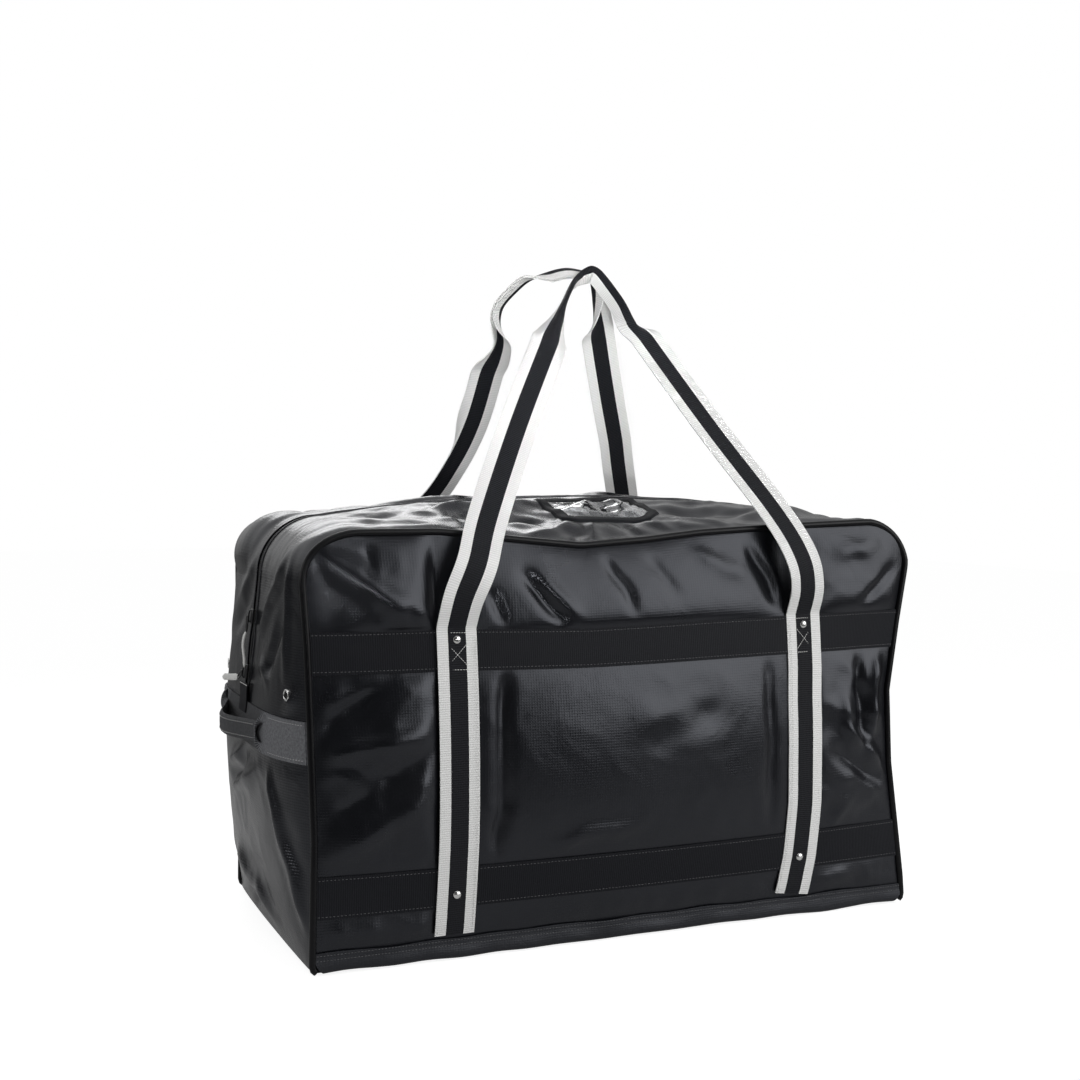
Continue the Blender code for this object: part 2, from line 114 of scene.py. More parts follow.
# %% Helpers that add a node to any tree
def add_node(tree, kind, *inputs, **settings):
    """Inputs come in the node's own order, each a socket to link or a value. None leaves one as it is."""
    node = tree.nodes.new(kind)
    for label, value in settings.items():
        setattr(node, label, value)
    for socket, value in zip(node.inputs, inputs):
        if isinstance(value, bpy.types.NodeSocket):
            tree.links.new(value, socket)
        elif value is not None:
            socket.default_value = value
    return node


def math_node(tree, operation, *values, clamp=False):
    return add_node(tree, "ShaderNodeMath", *values, operation=operation, use_clamp=clamp).outputs[0]


# %% World
WHITE = (1, 1, 1, 1)
BRIGHT_SIDE = (0.0, 0.55, 0.835)
world = bpy.data.worlds.new("studio")
bpy.context.scene.world = world
world.use_nodes = True
sky = world.node_tree
sky.nodes.clear()
path = add_node(sky, "ShaderNodeLightPath").outputs
towards = add_node(sky, "ShaderNodeTexCoord").outputs["Generated"]
rise = add_node(sky, "ShaderNodeVectorMath", towards, BRIGHT_SIDE, operation="DOT_PRODUCT")
room = add_node(sky, "ShaderNodeMapRange", rise.outputs["Value"], 0.36, 0.84, 0.07, 0.70)
room.interpolation_type = "SMOOTHSTEP"
seen = math_node(sky, "MAXIMUM", path["Is Camera Ray"], path["Is Transmission Ray"])
dim = add_node(sky, "ShaderNodeBackground", WHITE, 0.30)
mirrored = add_node(sky, "ShaderNodeBackground", WHITE, room.outputs[0])
white = add_node(sky, "ShaderNodeBackground", WHITE, 1.0)
soft = add_node(sky, "ShaderNodeMixShader", path["Is Glossy Ray"], dim.outputs[0], mirrored.outputs[0])
pick = add_node(sky, "ShaderNodeMixShader", seen, soft.outputs[0], white.outputs[0])
add_node(sky, "ShaderNodeOutputWorld", pick.outputs[0])
print("world nodes", len(sky.nodes))


# %% Soft boxes
def soft_box(name, place, target, width, height, power):
    lamp = bpy.data.lights.new(name, "AREA")
    lamp.shape = "RECTANGLE"
    lamp.size = width
    lamp.size_y = height
    lamp.energy = power
    obj = bpy.data.objects.new(name, lamp)
    obj.location = place
    aim = Vector(target) - Vector(place)
    obj.rotation_euler = aim.to_track_quat("-Z", "Y").to_euler()
    bpy.context.scene.collection.objects.link(obj)
    return obj


soft_box("overhead_box", (-0.1, -0.6, 2.6), (0, 0, 0.3), 2.2, 1.2, 7)
soft_box("left_box", (-2.6, 0.0, 1.10), (0, 0, 0.3), 0.9, 1.4, 12)
soft_box("front_box", (1.80, -2.40, 1.35), (0, -0.2, 0.42), 3.2, 2.5, 70)
soft_box("back_box", (0.3, 2.2, 1.6), (0, 0, 0.5), 1.6, 0.8, 10)
handle_box = soft_box("handle_box", (-0.9, -2.5, 0.30), (0, 0.05, 0.80), 0.6, 0.3, 0.52)
handle_box.data.spread = math.radians(14)

# %% Floor: pale paper that keeps the bag's shadow and fades to white further out
bpy.ops.mesh.primitive_grid_add(x_subdivisions=4, y_subdivisions=4, size=12)
floor = bpy.context.object
floor.name = "studio_floor"
floor.location = (0, 5.2, -0.0005)
paper = bpy.data.materials.new("floor_paper")
paper.use_nodes = True
tree = paper.node_tree
tree.nodes.clear()
path = add_node(tree, "ShaderNodeLightPath").outputs
where = add_node(tree, "ShaderNodeNewGeometry").outputs["Position"]
from_bag = add_node(tree, "ShaderNodeVectorMath", where, operation="LENGTH").outputs["Value"]
lit = add_node(tree, "ShaderNodeMapRange", from_bag, 0.7, 2.0, 1.0, 0.12).outputs[0]
seen = math_node(tree, "MAXIMUM", path["Is Camera Ray"], path["Is Transmission Ray"])
shaded = math_node(tree, "SUBTRACT", 0.99, math_node(tree, "MULTIPLY", lit, 0.13))
to_camera = math_node(tree, "MULTIPLY", seen, shaded)
mirrored = math_node(tree, "ADD", math_node(tree, "MULTIPLY", lit, 0.03), 0.12)
to_mirrors = math_node(tree, "MULTIPLY", path["Is Glossy Ray"], mirrored)
strength = math_node(tree, "MAXIMUM", to_camera, to_mirrors)
matt = add_node(tree, "ShaderNodeBsdfDiffuse", math_node(tree, "MULTIPLY", lit, 0.50))
glow = add_node(tree, "ShaderNodeEmission", None, strength)
both = add_node(tree, "ShaderNodeAddShader", matt.outputs[0], glow.outputs[0])
add_node(tree, "ShaderNodeOutputMaterial", both.outputs[0])
floor.data.materials.append(paper)
floor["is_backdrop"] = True
print("floor nodes", len(tree.nodes))

# %% [markdown]
# ## Shared surface effects
# Several finishes share the same small effects. Each could be built again in every material, but then a
# change has to be made many times. So each effect is a node group with named sockets. Cloth pieces carry
# a UV map measured in metres, which lets a rib or a grid keep its real pitch everywhere.


# %% Helpers for node groups
def effect(name, inputs, outputs):
    """A new group with its named values, and the sockets at its start and end."""
    group = bpy.data.node_groups.new(name, "ShaderNodeTree")
    for label, value in inputs.items():
        socket = group.interface.new_socket(label, in_out="INPUT", socket_type="NodeSocketFloat")
        socket.default_value = value
    for label in outputs:
        group.interface.new_socket(label, in_out="OUTPUT", socket_type="NodeSocketFloat")
    given = group.nodes.new("NodeGroupInput").outputs
    wanted = group.nodes.new("NodeGroupOutput").inputs
    return group, given, wanted


def hand_out(group, wanted, **values):
    for label, value in values.items():
        group.links.new(value, wanted[label])


def metre_map(group):
    """The UV map whole, then its parts across and along the cloth."""
    whole = add_node(group, "ShaderNodeUVMap", uv_map="UVMap").outputs[0]
    parts = add_node(group, "ShaderNodeSeparateXYZ", whole).outputs
    return whole, parts[0], parts[1]


def wave(group, kind, length, pitch):
    turns = math_node(group, "DIVIDE", length, pitch)
    return math_node(group, kind, math_node(group, "MULTIPLY", turns, 2 * math.pi))


def noise(group, where, scale, **values):
    node = add_node(group, "ShaderNodeTexNoise", where, None, scale)
    for label, value in values.items():
        node.inputs[label].default_value = value
    return node.outputs[0]


# %% Woven ribs across a length of webbing
RIBS, given, wanted = effect(
    "webbing ribs",
    {"Pitch": 0.0016, "Cross Pitch": 0.0022, "Fuzz Scale": 900.0},
    ["Height", "Shade", "Across", "Along"],
)
whole, across, along = metre_map(RIBS)
rib = wave(RIBS, "SINE", along, given["Pitch"])
cross_rib = wave(RIBS, "SINE", across, given["Cross Pitch"])
fuzz = noise(RIBS, whole, given["Fuzz Scale"], Detail=2)
ribbed = math_node(RIBS, "MULTIPLY", math_node(RIBS, "ADD", rib, 1), 0.5)
grained = math_node(RIBS, "MULTIPLY", cross_rib, 0.16)
height = math_node(RIBS, "ADD", math_node(RIBS, "ADD", ribbed, grained), fuzz)
shade = math_node(RIBS, "MULTIPLY", math_node(RIBS, "ADD", ribbed, fuzz), 0.5)
hand_out(RIBS, wanted, Height=height, Shade=shade, Across=across, Along=along)
print("webbing ribs", len(RIBS.nodes), "nodes")

# %% The fine grid of threads inside tarpaulin
GRID, given, wanted = effect("tarpaulin grid", {"Pitch": 0.0034}, ["Height"])
whole, across, along = metre_map(GRID)
lines = []
for length in (across, along):
    crest = math_node(GRID, "MAXIMUM", wave(GRID, "COSINE", length, given["Pitch"]), 0)
    lines.append(math_node(GRID, "POWER", crest, 2))
hand_out(GRID, wanted, Height=math_node(GRID, "MAXIMUM", *lines))
print("tarpaulin grid", len(GRID.nodes), "nodes")

# %% Small crumples and patches of wear, in three dimensions
CRUMPLE, given, wanted = effect(
    "crumple and wear", {"Crumple Scale": 22.0, "Wear Scale": 7.0}, ["Height", "Wear", "Dust"],
)
spot = add_node(CRUMPLE, "ShaderNodeTexCoord").outputs["Object"]
broad = noise(CRUMPLE, spot, given["Crumple Scale"], Detail=3, Distortion=0.9)
fold = math_node(CRUMPLE, "ABSOLUTE", math_node(CRUMPLE, "SUBTRACT", broad, 0.5))
worn = noise(CRUMPLE, spot, given["Wear Scale"], Detail=6, Roughness=0.6)
speck = noise(CRUMPLE, spot, 260, Detail=3)
hand_out(CRUMPLE, wanted, Height=fold, Wear=worn, Dust=speck)
print("crumple and wear", len(CRUMPLE.nodes), "nodes")

# %% [markdown]
# ## Finishes
# Each finish is a Principled material of its own. It could be one flat colour, but coated cloth, yarn and
# metal are all told by small changes of shade and gloss. The groups feed colour, roughness and bump, and
# what is the same all over is set straight on the shader.


# %% Helpers for a finish
def finish(name, roughness, specular=0.5, metallic=0.0):
    made = bpy.data.materials.new(name)
    made.use_nodes = True
    shader = made.node_tree.nodes["Principled BSDF"]
    shader.inputs["Roughness"].default_value = roughness
    shader.inputs["Specular IOR Level"].default_value = specular
    shader.inputs["Metallic"].default_value = metallic
    return made, made.node_tree, shader


def place(tree, group, **values):
    node = tree.nodes.new("ShaderNodeGroup")
    node.node_tree = group
    for label, value in values.items():
        node.inputs[label.replace("_", " ")].default_value = value
    return node


# %% Helpers for colour and relief
def ramp(tree, factor, low, dark, high, light):
    """Goes from one colour to another between two values of the factor."""
    node = add_node(tree, "ShaderNodeValToRGB", factor)
    for element, position, colour in zip(node.color_ramp.elements, (low, high), (dark, light)):
        element.position = position
        element.color = (*colour, 1)
    return node.outputs[0]


def mixed(tree, factor, first, second, blend_type="MIX"):
    node = add_node(tree, "ShaderNodeMix", factor, data_type="RGBA", blend_type=blend_type)
    tree.links.new(first, node.inputs[6])
    tree.links.new(second, node.inputs[7])
    return node.outputs[2]


def grey(value):
    return (value, value, value)


def bump(tree, shader, layers):
    """Stacks bumps, each a height with its strength and its depth in metres."""
    normal = None
    for height, strength, distance in layers:
        node = tree.nodes.new("ShaderNodeBump")
        node.inputs["Strength"].default_value = strength
        node.inputs["Distance"].default_value = distance
        tree.links.new(height, node.inputs["Height"])
        if normal:
            tree.links.new(normal, node.inputs["Normal"])
        normal = node.outputs[0]
    tree.links.new(normal, shader.inputs["Normal"])


# %% Tarpaulin: glossy coated cloth with its grid showing through
def tarpaulin(name, gloss, dull, crumple_depth, grid_depth):
    made, tree, shader = finish(name, 0.3)
    shader.inputs["Specular Tint"].default_value = (0.88, 0.91, 1.0, 1)
    grid = place(tree, GRID)
    crumple = place(tree, CRUMPLE)
    wear = crumple.outputs["Wear"]
    colour = ramp(tree, wear, 0.3, (0.0030, 0.0033, 0.0046), 0.75, (0.0052, 0.0055, 0.0072))
    tree.links.new(colour, shader.inputs["Base Color"])
    rough = ramp(tree, wear, 0.3, grey(gloss), 0.75, grey(dull))
    tree.links.new(rough, shader.inputs["Roughness"])
    layers = [
        (crumple.outputs["Height"], 0.35, crumple_depth),
        (grid.outputs["Height"], 0.6, grid_depth),
    ]
    bump(tree, shader, layers)
    return made


TARP = tarpaulin("black_tarpaulin", 0.26, 0.35, 0.0020, 0.00011)
TOP_TARP = tarpaulin("glossy_top_tarpaulin", 0.16, 0.25, 0.0026, 0.00010)
BASE_TARP = tarpaulin("base_tarpaulin", 0.40, 0.52, 0.0030, 0.00016)
print("tarpaulins", TARP.name, TOP_TARP.name, BASE_TARP.name)


# %% Webbing in plain black
def black_webbing(name, dark, light, pitch, fuzz, spread, shaded_middle=1.0):
    """The last value is how dark the middle of a grip and of its band are made: painted shade of the fold."""
    made, tree, shader = finish(name, 0.62, specular=0.16)
    shader.inputs["Sheen Weight"].default_value = 0.02
    shader.inputs["Sheen Roughness"].default_value = 0.4
    ribs = place(tree, RIBS, Pitch=pitch, Fuzz_Scale=fuzz)
    colour = ramp(tree, ribs.outputs["Shade"], 0.5 - spread, dark, 0.5 + spread, light)
    # The middle of a grip, and of the band under it, is darkened: painted shade where the webbing is folded.
    from_middle = math_node(tree, "ABSOLUTE", ribs.outputs["Along"])
    past_grip = math_node(tree, "SUBTRACT", from_middle, 0.090)
    flat = math_node(tree, "MULTIPLY", past_grip, 40, clamp=True)
    painted_shade = math_node(tree, "ADD", math_node(tree, "MULTIPLY", flat, 1 - shaded_middle), shaded_middle)
    tree.links.new(mixed(tree, 1.0, colour, painted_shade, "MULTIPLY"), shader.inputs["Base Color"])
    bump(tree, shader, [(ribs.outputs["Height"], 0.45, 0.00035)])
    return made


BAND_DARK, BAND_LIGHT = (0.0036, 0.0039, 0.0054), (0.0125, 0.0134, 0.0175)
# The light grey of the end webbing is partly its heather and partly painted sheen on the flat grip.
GRIP_DARK, GRIP_LIGHT = (0.026, 0.027, 0.032), (0.290, 0.296, 0.312)
BAND_WEB = black_webbing("black_webbing", BAND_DARK, BAND_LIGHT, 0.0027, 900.0, 0.35)
END_WEB = black_webbing("end_webbing", GRIP_DARK, GRIP_LIGHT, 0.0016, 320.0, 0.20, shaded_middle=0.42)
print("black webbing", BAND_WEB.name, END_WEB.name)

# %% Webbing in white with a black stripe
HALF_STRIPE = 0.0115
STRIPE_WEB, tree, shader = finish("striped_webbing", 0.62, specular=0.18)
shader.inputs["Sheen Weight"].default_value = 0.02
ribs = place(tree, RIBS, Pitch=0.0028)
shade = ribs.outputs["Shade"]
white_yarn = ramp(tree, shade, 0.15, (0.70, 0.70, 0.69), 0.8, (0.88, 0.88, 0.87))
black_yarn = ramp(tree, shade, 0.15, (0.0036, 0.0039, 0.0056), 0.85, (0.013, 0.0138, 0.018))
from_centre = math_node(tree, "ABSOLUTE", ribs.outputs["Across"])
past_stripe = math_node(tree, "GREATER_THAN", from_centre, HALF_STRIPE)
tree.links.new(mixed(tree, past_stripe, black_yarn, white_yarn), shader.inputs["Base Color"])
bump(tree, shader, [(ribs.outputs["Height"], 0.75, 0.0004)])
print("striped webbing", STRIPE_WEB.name)


# %% Thread, piping, zip tape, coil and hardware
def speckled(name, dark, light, roughness, specular=0.4, depth=0.0001, metallic=0.0):
    made, tree, shader = finish(name, roughness, specular, metallic)
    crumple = place(tree, CRUMPLE)
    colour = ramp(tree, crumple.outputs["Dust"], 0.3, dark, 0.7, light)
    tree.links.new(colour, shader.inputs["Base Color"])
    low, high = max(0.03, roughness - 0.05), min(1.0, roughness + 0.08)
    rough = ramp(tree, crumple.outputs["Wear"], 0.3, grey(low), 0.7, grey(high))
    tree.links.new(rough, shader.inputs["Roughness"])
    bump(tree, shader, [(crumple.outputs["Dust"], 0.3, depth)])
    return made


WHITE_THREAD = speckled("white_thread", (0.55, 0.55, 0.54), (0.75, 0.75, 0.73), 0.6)
GREY_THREAD = speckled("grey_thread", (0.06, 0.06, 0.065), (0.13, 0.13, 0.135), 0.6)
BLACK_THREAD = speckled("black_thread", (0.010, 0.010, 0.011), (0.024, 0.024, 0.026), 0.6)
PIPING = speckled("piping_vinyl", (0.0018, 0.0018, 0.0026), (0.0034, 0.0034, 0.0044), 0.34, 0.22)
ZIP_TAPE = speckled("zip_tape", (0.004, 0.004, 0.005), (0.009, 0.009, 0.0105), 0.8, 0.12, 0.0002)
# The coil's dark grey is partly its own colour and partly a painted highlight on its crests.
COIL = speckled("zip_coil", (0.016, 0.016, 0.018), (0.036, 0.036, 0.040), 0.32, 0.5)
BLACK_METAL = speckled("black_metal", (0.009, 0.009, 0.010), (0.02, 0.02, 0.022), 0.32, 0.5, 0.00005)
NICKEL = speckled("nickel", (0.66, 0.66, 0.65), (0.78, 0.78, 0.77), 0.22, 0.5, 0.00003, 1.0)
WHITE_PULL = speckled("white_pull", (0.72, 0.72, 0.70), (0.82, 0.82, 0.80), 0.45, 0.5, 0.00008)
LINING = speckled("floor_lining", (0.012, 0.012, 0.014), (0.022, 0.022, 0.025), 0.6, 0.3)
print("thread and hardware", WHITE_THREAD.name, NICKEL.name)

# %% Clear vinyl for the name window
VINYL, tree, shader = finish("clear_vinyl", 0.02)
shader.inputs["Base Color"].default_value = (0.93, 0.94, 0.95, 1)
shader.inputs["Transmission Weight"].default_value = 1.0
shader.inputs["IOR"].default_value = 1.45
crumple = place(tree, CRUMPLE, Crumple_Scale=34.0)
bump(tree, shader, [(crumple.outputs["Height"], 0.04, 0.003)])
print("finishes", len(bpy.data.materials))

# %% [markdown]
# ## The shape of a stuffed bag
# The frame gives a smooth, even bag. A real one settles: its right side is pulled in, the top edge sags
# between the handles, and the coated cloth folds where it has too much length. A cloth simulation would
# put folds in places of its own. The fields below say how far each point moves instead, so the large
# folds lie where they should and only the small ones are noise.


# %% Smooth noise and a soft step
def soft_noise(u, v, seed):
    """Gradient noise between about -1 and 1, the same on every run."""
    i, j = np.floor(u), np.floor(v)
    fu, fv = u - i, v - j

    def corner(a, b):
        turn = np.sin((i + a) * 127.1 + (j + b) * 311.7 + seed * 74.7) * 43758.5453
        turn = (turn - np.floor(turn)) * 2 * np.pi
        return np.cos(turn) * (fu - a) + np.sin(turn) * (fv - b)

    su = fu**3 * (fu * (fu * 6 - 15) + 10)
    sv = fv**3 * (fv * (fv * 6 - 15) + 10)
    low = corner(0, 0) * (1 - su) + corner(1, 0) * su
    high = corner(0, 1) * (1 - su) + corner(1, 1) * su
    return 1.5 * (low * (1 - sv) + high * sv)


def ramp_up(value, low, high):
    t = np.clip((value - low) / (high - low), 0, 1)
    return t * t * (3 - 2 * t)


print("soft step at a third", round(float(ramp_up(1 / 3, 0, 1)), 3))


# %% Long creases and small crumples
def creases(u, v, folds):
    """Adds long rounded folds, each (u0, v0, u1, v1, width, height). A negative height makes a valley."""
    total = np.zeros_like(u)
    bend = 0.006 * soft_noise(u * 18, v * 18, 5)
    for u0, v0, u1, v1, width, height in folds:
        du, dv = u1 - u0, v1 - v0
        length = math.hypot(du, dv)
        along = ((u - u0) * du + (v - v0) * dv) / length
        off = ((u - u0) * dv - (v - v0) * du) / length + bend
        t = along / length
        inside = ramp_up(t, -0.35, 0.3) * (1 - ramp_up(t, 0.7, 1.35))
        total += height * inside * np.exp(-((off / width) ** 2))
    return total


def crumpled(u, v, seed):
    """Smaller folds with sharp crests, as stiff coated cloth makes."""
    su = u + 0.03 * soft_noise(u * 9, v * 9, seed + 1)
    sv = v + 0.03 * soft_noise(u * 9, v * 9, seed + 2)
    large = 1 - np.abs(soft_noise(su * 11, sv * 11, seed + 3)) * 2
    small = 1 - np.abs(soft_noise(su * 26, sv * 26, seed + 4)) * 2
    return 0.0026 * large + 0.0010 * small


print("a crumple stands", round(float(crumpled(np.array(0.1), np.array(0.2), 11)), 4))


# %% How the whole bag settles
def curve_through(pairs, value):
    xs, ys = zip(*pairs)
    return np.interp(value, xs, ys)


# Pairs of a height and how far the edge is drawn in there, then of a place along the top and its drop.
RIGHT_IN = [
    (0, 0), (0.04, 0.003), (0.09, 0.0095), (0.2, 0.024), (0.3, 0.028), (0.396, 0.013), (0.478, -0.002),
]
LEFT_IN = [
    (0, 0), (0.06, 0.001), (0.16, 0.0035), (0.28, 0), (0.395, -0.004), (0.5, -0.011), (0.53, -0.010),
]
TOP_DROP = [
    (-0.419, 0), (-0.377, -0.003), (-0.258, -0.003), (-0.16, -0.014), (-0.072, -0.023),
    (0.02, -0.017), (0.098, -0.009), (0.24, -0.002), (0.362, 0.002), (0.419, 0),
]
BACK_SHARE = 0.6
BACK_IN = 0.006


def settle(points):
    """Moves points of the even bag to where the settled one is."""
    points = np.array(points, float)
    x, y, z = points[..., 0].copy(), points[..., 1], points[..., 2].copy()
    near = np.clip(np.abs(y) / HALF_D, 0, 1) ** 2 * np.where(y < 0, 1.0, BACK_SHARE)
    share = np.clip(np.abs(x) / HALF_L, 0, 1.1) ** 3
    inward = np.where(x > 0, curve_through(RIGHT_IN, z), curve_through(LEFT_IN, z))
    inward = np.where(y < 0, inward, np.maximum(inward, 0) + BACK_IN)
    points[..., 0] = x - np.sign(x) * inward * share * near
    drop = curve_through(TOP_DROP, np.where(y < 0, x, -x))
    points[..., 2] = z + drop * np.clip(z / HEIGHT, 0, 1.02) ** 5 * near
    return points


print("right edge drawn in", round(HALF_L - float(settle((HALF_L, -HALF_D, 0.3))[0]), 4))

# %% The belly of the front and back walls
BELLY = 0.035


def swell(x, z):
    across = np.clip(np.abs(x) / (HALF_L - EDGE), 0, 1)
    up = np.clip(2 * (z - RIM) / (HEIGHT - RIM) - 1, -1, 1)
    return BELLY * (1 - across**2) * (1 - up**2) * (1 - 0.25 * up)


print("belly at the middle", round(float(swell(0.0, 0.28)), 4))

# %% Fields and folds on a wall
# The bands and straps part the wall into fields that puff out. A column is (left, right, lean, share) and a
# row is (bottom, top, puff, lean). A lean other than 1 moves the crest off the middle.
COLUMNS = [(-0.4144, -0.268, 2.3, 1.5), (-0.218, 0.218, 1.0, 1.0), (0.268, 0.4144, 1.0, 1.0)]
ROWS = [(0.028, 0.068, 0.002, 1.0), (0.119, 0.3596, 0.007, 1.0), (0.4104, 0.527, 0.010, 0.62)]
FRONT_FOLDS = [
    (-0.148, 0.478, -0.108, 0.418, 0.009, -0.009), (-0.128, 0.486, -0.086, 0.424, 0.010, 0.004),
    (-0.192, 0.456, -0.180, 0.420, 0.007, -0.006), (-0.394, 0.500, -0.292, 0.424, 0.017, 0.008),
    (-0.348, 0.512, -0.344, 0.484, 0.006, -0.004),
    (-0.338, 0.440, -0.340, 0.416, 0.005, -0.004), (-0.302, 0.438, -0.300, 0.416, 0.006, -0.003),
    (-0.036, 0.500, -0.010, 0.436, 0.008, -0.005), (0.020, 0.500, 0.050, 0.452, 0.010, -0.003),
    (0.090, 0.500, 0.150, 0.470, 0.012, 0.004), (0.170, 0.500, 0.205, 0.430, 0.010, -0.006),
    (0.350, 0.428, 0.396, 0.470, 0.009, -0.006), (0.300, 0.486, 0.360, 0.500, 0.012, 0.004),
    (-0.404, 0.262, -0.300, 0.286, 0.014, 0.009), (-0.404, 0.296, -0.340, 0.344, 0.011, -0.008),
    (-0.352, 0.230, -0.276, 0.262, 0.012, -0.007), (-0.392, 0.144, -0.286, 0.210, 0.016, 0.007),
    (-0.392, 0.186, -0.320, 0.232, 0.010, -0.005), (-0.186, 0.352, -0.190, 0.250, 0.009, -0.009),
    (-0.184, 0.250, -0.194, 0.140, 0.009, -0.008), (-0.008, 0.296, 0.076, 0.270, 0.024, 0.004),
    (0.010, 0.262, 0.110, 0.292, 0.020, -0.004), (-0.110, 0.140, -0.010, 0.156, 0.010, 0.004),
    (0.350, 0.345, 0.360, 0.238, 0.009, -0.011), (0.322, 0.300, 0.332, 0.230, 0.012, 0.006),
    (0.386, 0.345, 0.380, 0.258, 0.009, 0.009), (0.330, 0.252, 0.392, 0.206, 0.010, 0.010),
    (0.312, 0.222, 0.384, 0.180, 0.010, -0.007), (0.190, 0.340, 0.196, 0.160, 0.010, -0.006),
]
print("folds drawn on a wall", len(FRONT_FOLDS))

# %% Points on a wall
HELD = 0.12
BACK_SHIFT = 0.013
FRONT_SEED, BACK_SEED = 11, 37


def wall_folds(side, x, z):
    """How far the cloth stands proud of the even wall. Webbing holds it down along its own lines."""
    turned, shift, seed = (x, 0.0, FRONT_SEED) if side < 0 else (-x, BACK_SHIFT, BACK_SEED)
    puff = np.zeros_like(x)
    for low, high, lean, more in COLUMNS:
        part_x = np.clip((x - low) / (high - low), 0, 1) ** lean
        for bottom, top, tall, tilt in ROWS:
            part_z = np.clip((z - bottom) / (top - bottom), 0, 1) ** tilt
            puff += more * tall * (np.sin(np.pi * part_x) * np.sin(np.pi * part_z)) ** 0.7
    loose = np.ones_like(x)
    for centre in (UPPER_BAND, LOWER_BAND):
        loose *= HELD + (1 - HELD) * ramp_up(np.abs(z - centre), 0.022, 0.050)
    for centre in (-STRAP_X, STRAP_X):
        loose *= HELD + (1 - HELD) * ramp_up(np.abs(x - centre), 0.022, 0.046)
    loose *= ramp_up(HALF_L - np.abs(x), 0.002, 0.03) * ramp_up(z, RIM, 0.05)
    loose *= ramp_up(HEIGHT - z, 0.001, 0.03)
    calm = (0.30 + 1.15 * ramp_up(np.abs(x), 0.19, 0.27)) * (1 - 0.5 * ramp_up(z, 0.38, 0.42))
    folds = creases(turned + shift, z, FRONT_FOLDS) + calm * crumpled(turned, z, seed)
    pucker = 0.0011 * soft_noise(x * 45, z * 6, 3) * ramp_up(0.066 - z, 0, 0.02) * ramp_up(z, RIM, 0.04)
    return puff + loose * folds + pucker


def on_wall(side, x, z, out=0.0):
    """Points on the front (side -1) or back (side 1) wall, out metres proud of the cloth."""
    x, z = np.broadcast_arrays(np.asarray(x, float), np.asarray(z, float))
    y = side * (HALF_D + swell(x, z) + wall_folds(side, x, z) + out)
    return settle(np.stack([x, y, z], -1))


print("front belly reaches y", round(float(on_wall(-1, 0.0, 0.25)[1]), 4))

# %% Ends and top, as one strip that runs up an end, round the corner and along the top
END_BELLY, END_BELLY_Z, END_TAPER = 0.034, 0.28, 0.021
DOME_SIDES, DOME_CROWN = 0.012, 0.025
WINDOW_SAG = 0.036


def end_swell(y, z):
    across = 1 - np.clip(np.abs(y) / (HALF_D - EDGE), 0, 1) ** np.where(y > 0, 7, 4)
    low = END_BELLY * (1 - np.clip(1 - z / END_BELLY_Z, 0, 1) ** 2.6)
    high = END_BELLY - END_TAPER * (z - END_BELLY_Z) / (SIDE_TOP - END_BELLY_Z)
    return across * np.where(z < END_BELLY_Z, low, high)


def dome(x, y):
    across = 1 - np.clip(np.abs(y) / (HALF_D - EDGE), 0, 1) ** 2
    along = 1 - np.clip(np.abs(x) / TOP_END_X, 0, 1) ** 2
    return across * (DOME_SIDES + DOME_CROWN * along)


def window_sag(x, y):
    """The front half of the top hangs slack round the window, so it falls evenly to the front edge."""
    share = np.clip(-y / (HALF_D - EDGE), 0, 1)
    along = ramp_up(x, -0.26, -0.09) * (1 - ramp_up(x, 0.12, 0.29))
    return WINDOW_SAG * along * (share - share**2)


print("top stands up at its middle", round(float(dome(0.0, 0.0)), 4))

# %% Folds drawn on the ends and the top
TOP_FOLDS = [
    (-0.055, -0.152, -0.130, -0.196, 0.010, 0.006), (-0.072, -0.120, -0.200, -0.150, 0.013, -0.006),
    (0.085, -0.138, 0.150, -0.192, 0.010, 0.006), (0.100, -0.100, 0.220, -0.130, 0.014, -0.007),
    (-0.066, -0.050, -0.220, -0.076, 0.012, 0.007), (0.096, -0.046, 0.250, -0.064, 0.012, 0.006),
    (0.010, -0.156, 0.022, -0.204, 0.009, -0.005), (-0.026, -0.156, -0.046, -0.200, 0.008, 0.004),
    (0.048, -0.156, 0.070, -0.200, 0.008, 0.004), (-0.160, -0.030, -0.300, -0.110, 0.013, -0.006),
    (0.180, -0.030, 0.320, -0.080, 0.013, -0.006), (0.200, -0.150, 0.330, -0.110, 0.012, 0.006),
]
END_FOLDS = [
    (-0.190, 0.530, -0.050, 0.404, 0.012, 0.006), (-0.170, 0.490, -0.164, 0.368, 0.009, 0.005),
    (-0.140, 0.412, -0.098, 0.352, 0.010, -0.006), (-0.102, 0.340, -0.066, 0.358, 0.010, 0.004),
    (-0.060, 0.218, 0.090, 0.170, 0.011, 0.008), (0.006, 0.246, 0.130, 0.180, 0.010, 0.008),
    (-0.014, 0.238, 0.122, 0.158, 0.010, -0.006), (-0.060, 0.044, 0.074, 0.082, 0.016, 0.010),
    (0.074, 0.082, 0.205, 0.086, 0.016, 0.010), (-0.006, 0.050, 0.090, 0.012, 0.010, -0.007),
    (0.050, 0.050, 0.154, 0.010, 0.009, -0.007), (-0.204, 0.060, -0.150, 0.164, 0.011, 0.007),
    (-0.150, 0.164, -0.128, 0.226, 0.010, 0.006), (-0.190, 0.330, -0.150, 0.300, 0.008, 0.004),
    (0.040, 0.470, 0.180, 0.380, 0.014, 0.006), (0.060, 0.420, 0.190, 0.350, 0.012, -0.005),
]
print("folds drawn on the top and on an end", len(TOP_FOLDS), len(END_FOLDS))

# %% Points on the strip
GAPE, GAPE_FROM, GAPE_LONG = 0.0045, 0.347, 0.056
BACK_CORNER = 0.013


